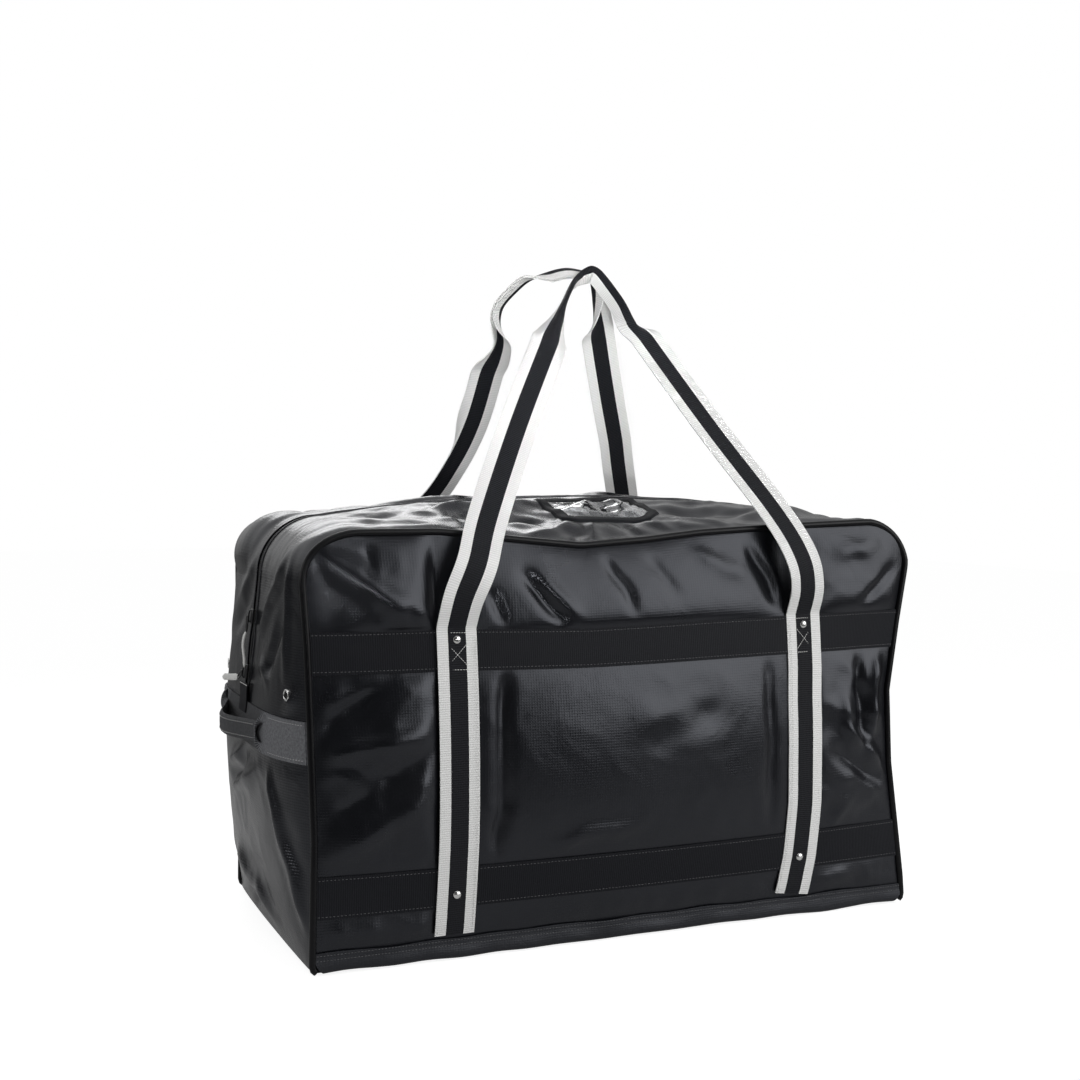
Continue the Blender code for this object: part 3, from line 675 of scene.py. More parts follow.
def strip_folds(side, s, y):
    """How far the cloth of an end and the top stands proud. Piping, zip and band hold it down."""
    x = np.clip(TOP_END_X - (s - SIDE_TOP - CORNER_RUN), -1, TOP_END_X) * side
    turned = y if side < 0 else -y
    end_part = creases(turned, s, END_FOLDS) + 0.38 * crumpled(turned, s, 21 + side)
    end_part = end_part * (1 - 0.85 * ramp_up(turned, 0.05, 0.13))
    long_folds = 0.0050 * soft_noise(x * 7 + 3, y * 22, 61) + 0.0026 * soft_noise(x * 17, y * 34 + x * 9, 62)
    drawn = creases(np.where(y < 0, x, -x), -np.abs(y), TOP_FOLDS)
    top_part = long_folds + 0.9 * crumpled(x, y, 71) + drawn * np.where(y < 0, 1.0, BACK_SHARE)
    share = ramp_up(s, SIDE_TOP - 0.02, SIDE_TOP + CORNER_RUN)
    off_piping = ramp_up(HALF_D - np.abs(y), 0.003, 0.03)
    off_zip = 0.25 + 0.75 * ramp_up(np.abs(y), 0.012, 0.045)
    loose = np.where(s < ZIP_END, off_piping, off_piping * off_zip)
    loose = loose * (0.15 + 0.85 * ramp_up(np.abs(s - END_BAND), 0.024, 0.05)) * ramp_up(s, 0.0, 0.03)
    return loose * (end_part * (1 - share) + top_part * share)


def on_strip(side, s, y, out=0.0):
    """Points on the end (side -1 left, 1 right) and top. s runs up the end from the floor.
    The zip gapes between the two sliders of the left end, and the back corners puff out."""
    s, y = np.broadcast_arrays(np.asarray(s, float), np.asarray(y, float))
    out = out + strip_folds(side, s, y)
    gape = np.sin(np.pi * np.clip((s - GAPE_FROM) / GAPE_LONG, 0, 1)) * GAPE * (side < 0)
    y = y + np.sign(y) * gape * (1 - ramp_up(np.abs(y), 0.012, 0.06))
    turn = np.clip((s - SIDE_TOP) / CORNER_RUN, 0, 1) * math.pi / 2
    out = out + BACK_CORNER * np.sin(2 * turn) * ramp_up(y, 0.03, 0.11) * (1 - ramp_up(y, 0.188, 0.215))
    reach = CORNER_R + end_swell(y, np.minimum(s, SIDE_TOP)) + out
    along = np.maximum(0, s - SIDE_TOP - CORNER_RUN)
    x = TOP_END_X - along
    rise = CORNER_R + dome(np.minimum(x, TOP_END_X), y) - window_sag(side * x, y) + out
    low = s <= SIDE_TOP
    px = np.where(low, HALF_L + end_swell(y, np.minimum(s, SIDE_TOP)) + out, x + reach * np.cos(turn))
    pz = np.where(low, s, SIDE_TOP + rise * np.sin(turn))
    return settle(np.stack([side * px, y, pz], -1))


print("left end reaches x", round(float(on_strip(-1, 0.2, 0.0)[0]), 4))

# %% [markdown]
# ## Making meshes from sheets of points
# Everything sewn on this bag is a sheet or a strip. Each could be modelled by hand or draped by
# simulation, but then its place would only be near the frame's. So one helper turns a grid of points into
# a mesh with a UV map in metres. A second one closes a strip into a slab with real thickness, for
# webbing.


# %% Small sums that many pieces need
def unit(vectors):
    return vectors / np.linalg.norm(vectors, axis=-1, keepdims=True)


def run_along(points):
    """The length along a line, at each of its points."""
    return np.concatenate([[0], np.cumsum(np.linalg.norm(np.diff(points, axis=0), axis=1))])


def spread_out(first, second):
    """Two rows of values as a grid with a pair of values at each point."""
    return np.stack(np.broadcast_arrays(first, second), -1)


print("a 3 by 4 step runs", run_along(np.array([(0, 0), (3, 4)]))[-1])


# %% A mesh from points and faces
def build(name, points, faces, material, uv=None):
    mesh = bpy.data.meshes.new(name)
    mesh.from_pydata(np.asarray(points).reshape(-1, 3).tolist(), [], faces)
    if uv is not None:
        layer = mesh.uv_layers.new(name="UVMap")
        corner = np.empty(len(mesh.loops), int)
        mesh.loops.foreach_get("vertex_index", corner)
        layer.data.foreach_set("uv", np.asarray(uv).reshape(-1, 2)[corner].astype(np.float32).ravel())
    mesh.polygons.foreach_set("use_smooth", [True] * len(mesh.polygons))
    mesh.materials.append(material)
    obj = bpy.data.objects.new(name, mesh)
    bpy.context.scene.collection.objects.link(obj)
    return obj


def grid_faces(rows, columns, start=0, turned=False):
    spots = np.arange(rows * columns).reshape(rows, columns) + start
    quads = [spots[:-1, :-1], spots[1:, :-1], spots[1:, 1:], spots[:-1, 1:]]
    if turned:
        quads.reverse()
    return np.stack(quads, -1).reshape(-1, 4)


def ring_faces(rings, sides, ends=False):
    """Faces between rings of points, with a face over each end if ends is true."""
    spots = np.arange(rings * sides).reshape(rings, sides)
    beside = np.roll(spots, -1, axis=1)
    faces = np.stack([spots[:-1], beside[:-1], beside[1:], spots[1:]], -1).reshape(-1, 4).tolist()
    if ends:
        faces += [spots[0, ::-1].tolist(), spots[-1].tolist()]
    return faces


print("faces in a grid of 3 by 3 points", len(grid_faces(3, 3)))


# %% Cloth, and webbing with thickness
def grid_normals(points):
    du, dv = np.gradient(points, axis=0), np.gradient(points, axis=1)
    normals = np.cross(du, dv)
    return normals / np.maximum(1e-12, np.linalg.norm(normals, axis=-1, keepdims=True))


def facing(points, outward):
    """True if the grid's own normals point away from outward and have to be turned."""
    return float((grid_normals(points) * np.asarray(outward)).sum()) < 0


def cloth(name, points, uv, material, outward):
    faces = grid_faces(points.shape[0], points.shape[1], turned=facing(points, outward))
    return build(name, points, faces.tolist(), material, uv)


def slab(name, bottom, top, uv, material):
    """A strip with thickness, between two grids of the same shape."""
    rows, columns = top.shape[:2]
    count = rows * columns
    turned = facing(top, top - bottom)
    spots = np.arange(count).reshape(rows, columns)
    rim = np.concatenate([spots[:-1, 0], spots[-1, :-1], spots[:0:-1, -1], spots[0, :0:-1]])
    after = np.roll(rim, -1)
    walls = np.stack([rim, after, after + count, rim + count], -1)
    faces = np.concatenate([
        grid_faces(rows, columns, 0, turned),
        grid_faces(rows, columns, count, not turned),
        walls if turned else walls[:, ::-1],
    ])
    obj = build(name, np.concatenate([top, bottom]), faces.tolist(), material, np.concatenate([uv, uv]))
    obj.data.set_sharp_from_angle(angle=math.radians(48))
    return obj


def thick(name, middle, uv, material):
    normals = grid_normals(middle) * WEB / 2
    return slab(name, middle - normals, middle + normals, uv, material)


# %% A round cord or welt along a line of points
def tube(name, points, radius, material, sides=10, ends=True):
    points = np.asarray(points, float)
    along = unit(np.gradient(points, axis=0))
    first = np.cross(along[0], (0.31, 0.77, 0.55))
    sides_at = []
    for direction in along:
        first = unit(first - direction * np.dot(first, direction))
        sides_at.append(first)
    sides_at = np.array(sides_at)
    other = np.cross(along, sides_at)
    turn = np.arange(sides) * 2 * np.pi / sides
    ring = sides_at[:, None] * np.cos(turn)[None, :, None] + other[:, None] * np.sin(turn)[None, :, None]
    uv = spread_out(turn[None] * 0.003, run_along(points)[:, None])
    return build(name, points[:, None] + ring * radius, ring_faces(len(points), sides, ends), material, uv)


# %% Thread: every stitch is a small bar that dips into the cloth at both ends
STITCH_RINGS = ((-0.5, 0.45, -0.6), (-0.3, 1.0, 0.35), (0.3, 1.0, 0.35), (0.5, 0.45, -0.6))
STITCH_SIDES = 6


def bars_across(name, centre, along, up, material, length, radius):
    """One small bar at each centre, all the same length."""
    along = unit(along)
    up = unit(up - along * (up * along).sum(1, keepdims=True))
    side = np.cross(along, up)
    turn = np.arange(STITCH_SIDES) * 2 * np.pi / STITCH_SIDES
    ring = side[:, None] * np.cos(turn)[None, :, None] + up[:, None] * np.sin(turn)[None, :, None]
    parts = []
    for share, size, lift in STITCH_RINGS:
        parts.append((centre + along * share * length + up * lift * radius)[:, None] + ring * radius * size)
    one = np.array(ring_faces(len(STITCH_RINGS), STITCH_SIDES))
    first = np.arange(len(centre)) * len(STITCH_RINGS) * STITCH_SIDES
    faces = (one[None] + first[:, None, None]).reshape(-1, 4)
    return build(name, np.stack(parts, 1), faces.tolist(), material)


def stitches(name, points, normals, material, pitch=0.0042, length=0.0032, radius=0.00042):
    points, normals = np.asarray(points, float), np.asarray(normals, float)
    run = run_along(points)
    count = max(1, int(run[-1] / pitch))
    at = (np.arange(count) + 0.5) * run[-1] / count

    def sample(values, where):
        return np.stack([np.interp(where, run, values[:, k]) for k in range(3)], -1)

    along = sample(points, at + pitch * 0.3) - sample(points, at - pitch * 0.3)
    return bars_across(name, sample(points, at), along, sample(normals, at), material, length, radius)


# %% Seam lines on a surface, and pieces that stay with the bag
def line_on(place_point, first, second, out):
    """Points and normals of a seam line drawn on a surface."""
    points = place_point(first, second, out)
    return points, unit(place_point(first, second, out + 0.004) - points)


def front_or_back(side):
    return lambda x, z, out: on_wall(side, x, z, out)


def left_or_right(side):
    return lambda s, y, out: on_strip(side, s, y, out)


def shell(obj, *nodes):
    """A piece of the bag's body, in place of the CAD nodes that are named."""
    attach(obj, "bag_shell")
    if nodes:
        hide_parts(*nodes)
    return obj


# %% [markdown]
# ## Front and back panels
# Each panel is one cut of tarpaulin with rounded top corners, sewn into the piping. A flat sheet with a
# bump map would look right from one side only. So its points come from the settled wall above, close
# enough together that the creases are real shape and not paint.


# %% Panels
PANEL_FOOT = 0.012
PANEL_CORNER = CORNER_R - 0.002


def panel_reach(z):
    over = np.clip(z - SIDE_TOP, 0, None)
    return TOP_END_X + np.sqrt(np.clip(PANEL_CORNER**2 - over**2, 0, None))


for side, label in FRONT_AND_BACK:
    corner = np.sin(np.linspace(0, 1, 17)[1:] * np.pi / 2)
    z = np.concatenate([np.linspace(PANEL_FOOT, SIDE_TOP, 96), SIDE_TOP + PANEL_CORNER * corner])
    u = np.linspace(-1, 1, 180)
    x = u[None, :] * panel_reach(z)[:, None]
    zz = np.broadcast_to(z[:, None], x.shape)
    panel = cloth(f"{label}_tarpaulin", on_wall(side, x, zz), np.stack([x, zz], -1), TARP, (0, side, 0))
    shell(panel, f"{label}_panel")
print("panels done")

# %% [markdown]
# ## Piping and base
# A round welt is sewn into the seam between a panel and the ends. A bevelled curve would do for it, but a
# tube of points can follow the settled edge. The base is a heavier cloth that turns up over the foot of
# both panels, where two rows of stitching hold it. It is one profile drawn along the bag, so that its
# fold stays round.

# %% Piping
WELT_R = 0.0045
low = [(-HALF_L + 0.0045, 0.0062), (-HALF_L + 0.0014, 0.0088)]
low += [(-HALF_L, v) for v in np.linspace(0.014, SIDE_TOP, 50)]
bend = [
    (-TOP_END_X + CORNER_R * math.cos(a), SIDE_TOP + CORNER_R * math.sin(a))
    for a in np.linspace(math.pi, math.pi / 2, 16)[1:]
]
half = low + bend
whole = half + [(v, HEIGHT) for v in np.linspace(-TOP_END_X, TOP_END_X, 80)[1:-1]]
whole += [(-x, z) for x, z in reversed(half)]
welt = np.array(whole)
for side, label in FRONT_AND_BACK:
    points = settle(np.stack([welt[:, 0], np.full(len(welt), side * HALF_D), welt[:, 1]], -1))
    piece = tube(f"{label}_welt", points, WELT_R, PIPING, sides=14)
    shell(piece, f"{label}_piping")
    print(label, "welt length", round(float(run_along(points)[-1]), 2))

# %% Profile of the base, from the front hem to the back one
BASE_INSET, BASE_OUT, BASE_FOLD = 0.003, 0.0022, 0.006
BASE_SEAMS = (("upper", 0.0255), ("lower", 0.0195))
x = np.linspace(-HALF_L + BASE_INSET, HALF_L - BASE_INSET, 150)
out = HALF_D + BASE_OUT
fold = BASE_FOLD
profile = [(-out, v) for v in np.linspace(RIM, fold, 6)]
for a in np.linspace(0, math.pi / 2, 6)[1:]:
    profile.append((-out + fold * (1 - math.cos(a)), fold * (1 - math.sin(a))))
profile += [(v, 0.0) for v in np.linspace(-out + fold, out - fold, 24)[1:-1]]
profile += [(-y, z) for y, z in reversed(profile[:11])]
profile = np.array(profile)
run = run_along(profile)
print("base cloth is", round(float(run[-1]), 3), "wide")

# %% Base
yy = np.broadcast_to(profile[None, :, 0], (len(x), len(profile)))
zz = np.broadcast_to(profile[None, :, 1], yy.shape)
xx = x[:, None] * (1 - 0.026 * (1 - np.clip(zz / 0.016, 0, 1)) ** 2)
edge = ramp_up(np.abs(yy), 0.19, 0.214)
wavy = 0.0016 * soft_noise(xx * 14, np.sign(yy) * 3.0, 91) * edge * ramp_up(zz, 0.004, 0.02)
foot = edge * (1 - ramp_up(zz, 0.008, 0.022))
raised = 0.0026 * foot * (1 + soft_noise(xx * 12, np.sign(yy) * 5.0, 93))
bulge = np.abs(wavy) + 0.0014 * foot * (1 + soft_noise(xx * 15, np.sign(yy) * 5.0, 94))
points = settle(np.stack([xx, yy + np.sign(yy) * bulge, zz + wavy * 1.6 + raised], -1))
base = cloth("base_tarpaulin", points, spread_out(xx, run[None]), BASE_TARP, (0, 0, -1))
# The faces of this cloth are turned to the inside of the bag.
base.data.flip_normals()
shell(base, "base_panel")
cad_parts["base_liner"].data.materials.clear()
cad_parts["base_liner"].data.materials.append(LINING)
for side, label in FRONT_AND_BACK:
    for row, height in BASE_SEAMS:
        seam = settle(np.stack([x, np.full(len(x), side * (out + 0.0006)), np.full(len(x), height)], -1))
        normal = np.broadcast_to((0.0, side, 0.0), seam.shape)
        shell(stitches(f"{label}_base_{row}_seam", seam, normal, GREY_THREAD))
print("base done")

# %% [markdown]
# ## Bands across the panels
# Black webbing, 2 in wide, is sewn across each panel at two heights with a row of stitches near each
# edge. A straight box would sink into the belly of the cloth or float off it. So the strip's points are
# laid on the wall, one layer for its underside and one for its face.

# %% Bands
WEB_LIFT = 0.0004
WEB_INSET = 0.004
BAND_SEAM = 0.0218
for side, label in FRONT_AND_BACK:
    for row, centre in (("upper", UPPER_BAND), ("lower", LOWER_BAND)):
        x = np.linspace(-HALF_L + WEB_INSET, HALF_L - WEB_INSET, 170)
        z = np.linspace(-WEB_WIDTH / 2, WEB_WIDTH / 2, 9)
        xx, zz = np.meshgrid(x, z, indexing="ij")
        bottom = on_wall(side, xx, zz + centre, WEB_LIFT)
        top = on_wall(side, xx, zz + centre, WEB_LIFT + WEB)
        band = slab(f"{label}_{row}_webbing", bottom, top, np.stack([zz, xx], -1), BAND_WEB)
        shell(band, f"{label}_{row}_band")
        for edge, shift in (("top", BAND_SEAM), ("foot", -BAND_SEAM)):
            line = line_on(front_or_back(side), x, np.full(len(x), centre + shift), WEB_LIFT + WEB)
            shell(stitches(f"{label}_{row}_{edge}_seam", *line, GREY_THREAD, 0.0046, 0.003, 0.00036))
print("bands done")

# %% [markdown]
# ## Straps and carry handles
# On the real bag one length of striped webbing runs up a panel, leaves it at a stitched box, makes the
# handle and comes down again. Straps and handles could be separate pieces, but a joint would show where
# they meet, so it is one piece here too. Near the top the webbing is folded in two for the hand.

# %% Points of the handles above the bag, with y measured outwards
FRONT_LEFT = [
    (-0.240, 0.2505, 0.448), (-0.224, 0.2540, 0.490), (-0.199, 0.2250, 0.545), (-0.131, 0.1540, 0.660),
    (-0.0465, 0.0735, 0.790), (-0.0305, 0.0587, 0.8130), (-0.0156, 0.0434, 0.8362), (0.0005, 0.0290, 0.8590),
    (0.0135, 0.0180, 0.8752), (0.0255, 0.0125, 0.8860),
]
FRONT_TOP = (0.0378, 0.0105, 0.8908)
FRONT_RIGHT = [
    (0.241, 0.2505, 0.448), (0.229, 0.2540, 0.490), (0.206, 0.2250, 0.548), (0.148, 0.1540, 0.660),
    (0.0860, 0.0735, 0.790), (0.0796, 0.0603, 0.8105), (0.0760, 0.0440, 0.8352), (0.0675, 0.0300, 0.8568),
    (0.0575, 0.0175, 0.8765), (0.0490, 0.0125, 0.8866),
]
BACK_LEFT = [
    (-0.239, 0.2505, 0.448), (-0.205, 0.2530, 0.500), (-0.1345, 0.2235, 0.553), (-0.1015, 0.1840, 0.613),
    (-0.0835, 0.1460, 0.673), (-0.0760, 0.1000, 0.748), (-0.0705, 0.0749, 0.7888), (-0.0735, 0.0579, 0.8154),
    (-0.0705, 0.0460, 0.8345), (-0.0549, 0.0333, 0.8546), (-0.0402, 0.0246, 0.8685),
    (-0.0228, 0.0165, 0.8800),
]
BACK_TOP = (0.0050, 0.0120, 0.8876)
BACK_RIGHT = [
    (0.240, 0.2505, 0.448), (0.222, 0.2530, 0.498), (0.1985, 0.2220, 0.556), (0.1715, 0.1840, 0.613),
    (0.1549, 0.1597, 0.6505), (0.1258, 0.1234, 0.7096), (0.0987, 0.0886, 0.7664), (0.0859, 0.0717, 0.7940),
    (0.0715, 0.0543, 0.8213), (0.0615, 0.0410, 0.8422), (0.0524, 0.0285, 0.8624), (0.0447, 0.0185, 0.8764),
    (0.0310, 0.0130, 0.8850),
]
print("points on the handles", len(FRONT_LEFT + FRONT_RIGHT) + 1, len(BACK_LEFT + BACK_RIGHT) + 1)

# %% The line that a handle follows, up one strap, over the top and down the other
STRAP_OUT = 0.0030 + WEB / 2
STRAP_FOOT, STRAP_FREE = 0.0335, 0.412
BOW = [(0.03, -0.006), (0.085, 0.002), (0.16, 0.007), (0.34, 0.006), (0.412, 0.003)]


def strap_centre(side, hand, z):
    """Only the front's right strap bows outwards a little. The others are straight."""
    bowed = curve_through(BOW, z) if side < 0 and hand > 0 else 0 * z
    return hand * STRAP_X + bowed


def smooth_line(points, per_span):
    points = [np.asarray(p, float) for p in points]
    found = []
    last = len(points) - 1
    for i in range(last):
        a, b = points[max(0, i - 1)], points[i]
        c, d = points[i + 1], points[min(last, i + 2)]
        square, cube = 2 * a - 5 * b + 4 * c - d, 3 * b - a - 3 * c + d
        for t in np.arange(per_span) / per_span:
            found.append(0.5 * (2 * b + (c - a) * t + square * t**2 + cube * t**3))
    return np.array(found + [points[last]])


def even_line(points, step):
    run = run_along(points)
    at = np.linspace(0, run[-1], int(run[-1] / step) + 1)
    return np.stack([np.interp(at, run, points[:, k]) for k in range(3)], -1), at


def handle_line(side, left_leg, top, right_leg):
    z = np.linspace(STRAP_FOOT, STRAP_FREE, 70)
    left = on_wall(side, strap_centre(side, -1, z), z, STRAP_OUT)
    right = on_wall(side, strap_centre(side, 1, z), z, STRAP_OUT)
    loop = [(x, side * y, z) for x, y, z in left_leg + [top] + right_leg[::-1]]
    free = smooth_line([left[-2], left[-1]] + loop + [right[-1], right[-2]], 8)[8:-8]
    return even_line(np.concatenate([left[:-1], free, right[-2::-1]]), 0.004)


print("right front strap bows by", round(float(strap_centre(-1, 1, 0.16)) - STRAP_X, 4))

# %% Which way the webbing faces along that line
LEAN_IN, LEAN_UP = 0.21, 0.352
print("handles lean", round(math.degrees(math.atan2(LEAN_IN, LEAN_UP))), "degrees")


def webbing_faces(side, line):
    """Unit vectors across the webbing, to the middle of the bag, and out of its face."""
    along = unit(np.gradient(line, axis=0))
    slope = unit(np.array([0.0, -side * LEAN_IN, LEAN_UP]))
    leaning = np.array([0.0, side * slope[2], abs(slope[1])])
    share = ramp_up(line[:, 2], 0.41, 0.54)[:, None]
    face = np.array([0.0, side, 0.0]) * (1 - share) + leaning * share
    inward = unit(np.cross(along, face) * -side)
    face = np.cross(inward, along)
    return inward, face * np.sign((face * leaning).sum(1, keepdims=True))


def handle_webbing(side, label, line, run, fold, lead, gap, curl):
    """fold is how far the webbing is folded at each point, lead the way in which its two halves then point:
    0 towards the middle of the bag, positive to the inside of the loop. gap is the room between them.
    curl is how far the outer white edge is turned back behind the webbing."""
    inward, face = webbing_faces(side, line)
    s = np.linspace(-WEB_WIDTH / 2, WEB_WIDTH / 2, 23)
    size = np.abs(s)[None, :]
    quarter = np.pi / 2
    upper = fold[:, None] * (quarter - lead[:, None])
    lower = np.pi - fold[:, None] * (quarter + lead[:, None])
    turn = np.where(s[None] >= 0, upper, lower)
    apart = np.sign(s)[None] * gap / 2 * fold[:, None] * ramp_up(size, 0, 0.007)
    a = size * np.cos(turn) + apart * np.cos(lead)[:, None]
    b = size * np.sin(turn) - apart * np.sin(lead)[:, None]
    edge = np.where(s < 0, np.clip(np.abs(s) - 0.0125, 0, None), 0)[None, :]
    a += edge * (1 - np.cos(curl))[:, None]
    b -= edge * np.sin(curl)[:, None] + 0.003 * (edge > 0) * ramp_up(curl, 0, 2.6)[:, None]
    for _ in range(4):
        a[:, 1:-1] = (a[:, :-2] + 2 * a[:, 1:-1] + a[:, 2:]) / 4
        b[:, 1:-1] = (b[:, :-2] + 2 * b[:, 1:-1] + b[:, 2:]) / 4
    middle = line[:, None] + inward[:, None] * a[..., None] - face[:, None] * b[..., None]
    webbing = thick(f"{label}_strap_and_handle", middle, spread_out(s[None], run[:, None]), STRIPE_WEB)
    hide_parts(f"{label}_left_strap", f"{label}_right_strap", f"{label}_handle")
    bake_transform(webbing)
    print(label, "webbing length", round(float(run[-1]), 3))


def taper(z, low, high):
    """A fold that narrows the webbing evenly between two heights."""
    fold = np.arccos(1 - np.clip((z - low) / (high - low), 0, 1)) * 2 / np.pi
    return np.convolve(np.pad(fold, 3, mode="edge"), np.ones(7) / 7, mode="valid")


# %% Front handle, then the back one with its curled edge
line, run = handle_line(-1, FRONT_LEFT, FRONT_TOP, FRONT_RIGHT)
x, z = line[:, 0], line[:, 2]
on_left = x < FRONT_TOP[0]
fold = np.where(on_left, taper(z, 0.776, 0.840), taper(z, 0.794, 0.846))
lead = np.where(on_left, 0.90 * ramp_up(x, 0.006, 0.040), 0.55 + 0.35 * ramp_up(z, 0.850, 0.888))
handle_webbing(-1, "front", line, run, fold, lead, 0.0056, 0 * z)

line, run = handle_line(1, BACK_LEFT, BACK_TOP, BACK_RIGHT)
x, z = line[:, 0], line[:, 2]
on_left = x < BACK_TOP[0]
fold = np.where(on_left, taper(z, 0.752, 0.822), taper(z, 0.806, 0.862))
left_lead = -1.05 * ramp_up(z, 0.78, 0.835) + 1.20 * ramp_up(x, -0.048, -0.018) * (z > 0.85)
lead = np.where(on_left, left_lead, 0.15 - 0.80 * ramp_up(x, 0.02, 0.048))
curl = np.where(on_left, 2.6 * ramp_up(z, 0.46, 0.53) * (1 - ramp_up(z, 0.60, 0.72)), 0)
handle_webbing(1, "back", line, run, fold, lead, 0.0030, curl)


# %% A helper that turns an outline round its axis
def lathe(name, outline, turns, material, place_at):
    """The outline is a list of (radius, height). place_at sets the finished piece in place."""
    angle = np.arange(turns) * 2 * np.pi / turns
    outline = np.array(outline)
    ring = np.stack([np.cos(angle), np.sin(angle)], -1)
    flat = outline[:, None, :1] * ring[None]
    tall = np.broadcast_to(outline[:, None, 1:], flat.shape[:2] + (1,))
    points = np.concatenate([flat, tall], -1).reshape(-1, 3)
    obj = build(name, points, ring_faces(len(outline), turns), material)
    obj.data.transform(place_at)
    return obj


def standing(point, normal):
    turn = Vector(normal).to_track_quat("Z", "Y").to_matrix().to_4x4()
    return Matrix.Translation(Vector(point)) @ turn


# %% Rivets, stitched boxes and strap seams
RIVET = [
    (0.0001, 0.0026), (0.0018, 0.0025), (0.0034, 0.0020), (0.0046, 0.0012), (0.0052, 0.0004),
    (0.0053, -0.0004),
]
RIVET_ROWS = (("upper", 0.398), ("lower", 0.085))
BOX_LINES = ((0.4065, 0.4065), (0.3615, 0.3615), (0.3925, 0.3665), (0.3665, 0.3925))
BOX_HALF = 0.0118
STRAP_SEAM = 0.0225
STRAP_SEAM_Z = (0.036, 0.404)
over = STRAP_OUT + WEB / 2
for side, label in FRONT_AND_BACK:
    place_point = front_or_back(side)
    for hand, name in LEFT_AND_RIGHT:
        for row, z in RIVET_ROWS:
            z = np.array([z])
            at, normal = line_on(place_point, strap_centre(side, hand, z), z, over)
            rivet = lathe(f"{label}_{name}_{row}_cap", RIVET, 28, NICKEL, standing(at[0], normal[0]))
            shell(rivet, f"{label}_{name}_{row}_rivet")
        for count, (from_z, to_z) in enumerate(BOX_LINES):
            t = np.linspace(0, 1, 24)
            z = from_z + (to_z - from_z) * t
            x = strap_centre(side, hand, z) - BOX_HALF + 2 * BOX_HALF * t
            line = line_on(place_point, x, z, over)
            shell(stitches(f"{label}_{name}_box_{count}", *line, WHITE_THREAD, 0.0030, 0.0027, 0.00042))
        for edge_name, shift in (("outer", -STRAP_SEAM), ("inner", STRAP_SEAM)):
            z = np.linspace(*STRAP_SEAM_Z, 90)
            line = line_on(place_point, strap_centre(side, hand, z) + shift, z, over)
            shell(stitches(f"{label}_{name}_{edge_name}_seam", *line, WHITE_THREAD, 0.0042, 0.003, 0.00034))
print("straps done")

# %% [markdown]
# ## Ends and top
# An end and half of the top are one long strip of cloth, slit down its middle for the zip. When the zip
# is opened the slit gapes. One whole mesh could not open, and plain flaps would tear off the ends. So the
# strip is made in quarters: each runs from an end up and over one half of the top to its middle. The
# bottom of an end, below the webbing band, never moves and is a piece of its own.

# %% Lower ends
S_TOP = SIDE_TOP + CORNER_RUN + TOP_END_X
for side, label in LEFT_AND_RIGHT:
    s = np.concatenate([np.linspace(0.006, 0.03, 6)[:-1], np.linspace(0.03, END_BAND, 52)])
    y = np.linspace(-HALF_D + 0.001, HALF_D - 0.001, 92)
    ss, yy = np.meshgrid(s, y, indexing="ij")
    end = cloth(f"{label}_lower_end", on_strip(side, ss, yy), np.stack([yy, ss], -1), TOP_TARP, (side, 0, 0))
    shell(end, f"{label}_end_panel")
print("lower ends done")


# %% Upper quarters
def bend(obj, side, label):
    """Bakes a piece's place into its mesh."""
    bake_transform(obj)


QUARTERS = []
for half, label in FRONT_AND_BACK:
    s = np.linspace(END_BAND, S_TOP, 132)
    y = half * np.concatenate([np.linspace(ZIP_SLOT, 0.03, 6)[:-1], np.linspace(0.03, HALF_D - 0.001, 42)])
    ss, yy = np.meshgrid(s, y, indexing="ij")
    left, right = on_strip(-1, ss, yy), on_strip(1, ss, yy)
    both = grid_normals(np.concatenate([left, right[-2::-1]]))
    if both[len(s) - 1, :, 2].mean() < 0:
        both = -both
    for side, hand, points in ((-1, "left", left), (1, "right", right)):
        name = f"{hand}_{label}_quarter"
        quarter = cloth(name, points, np.stack([yy, ss], -1), TOP_TARP, (side * 0.5, 0, 1))
        # Both sheets take the same normals where they meet, so no line shows there.
        shared = np.zeros(points.shape)
        shared[-1] = both[len(s) - 1]
        quarter.data.normals_split_custom_set_from_vertices(shared.reshape(-1, 3).tolist())
        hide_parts(f"{label}_top_flap")
        QUARTERS.append((side, hand, half, label))
        bend(quarter, side, label)
print("ends and top done")

# %% [markdown]
# ## Zip
# A coil zip sits a little below the cloth: a folded edge on each side, a woven tape under it and two rows
# of coil that meet in the middle. A wound helix would be truer, but nobody sees more than its crests. So
# each turn of the coil is a small bar, like a stitch laid across.

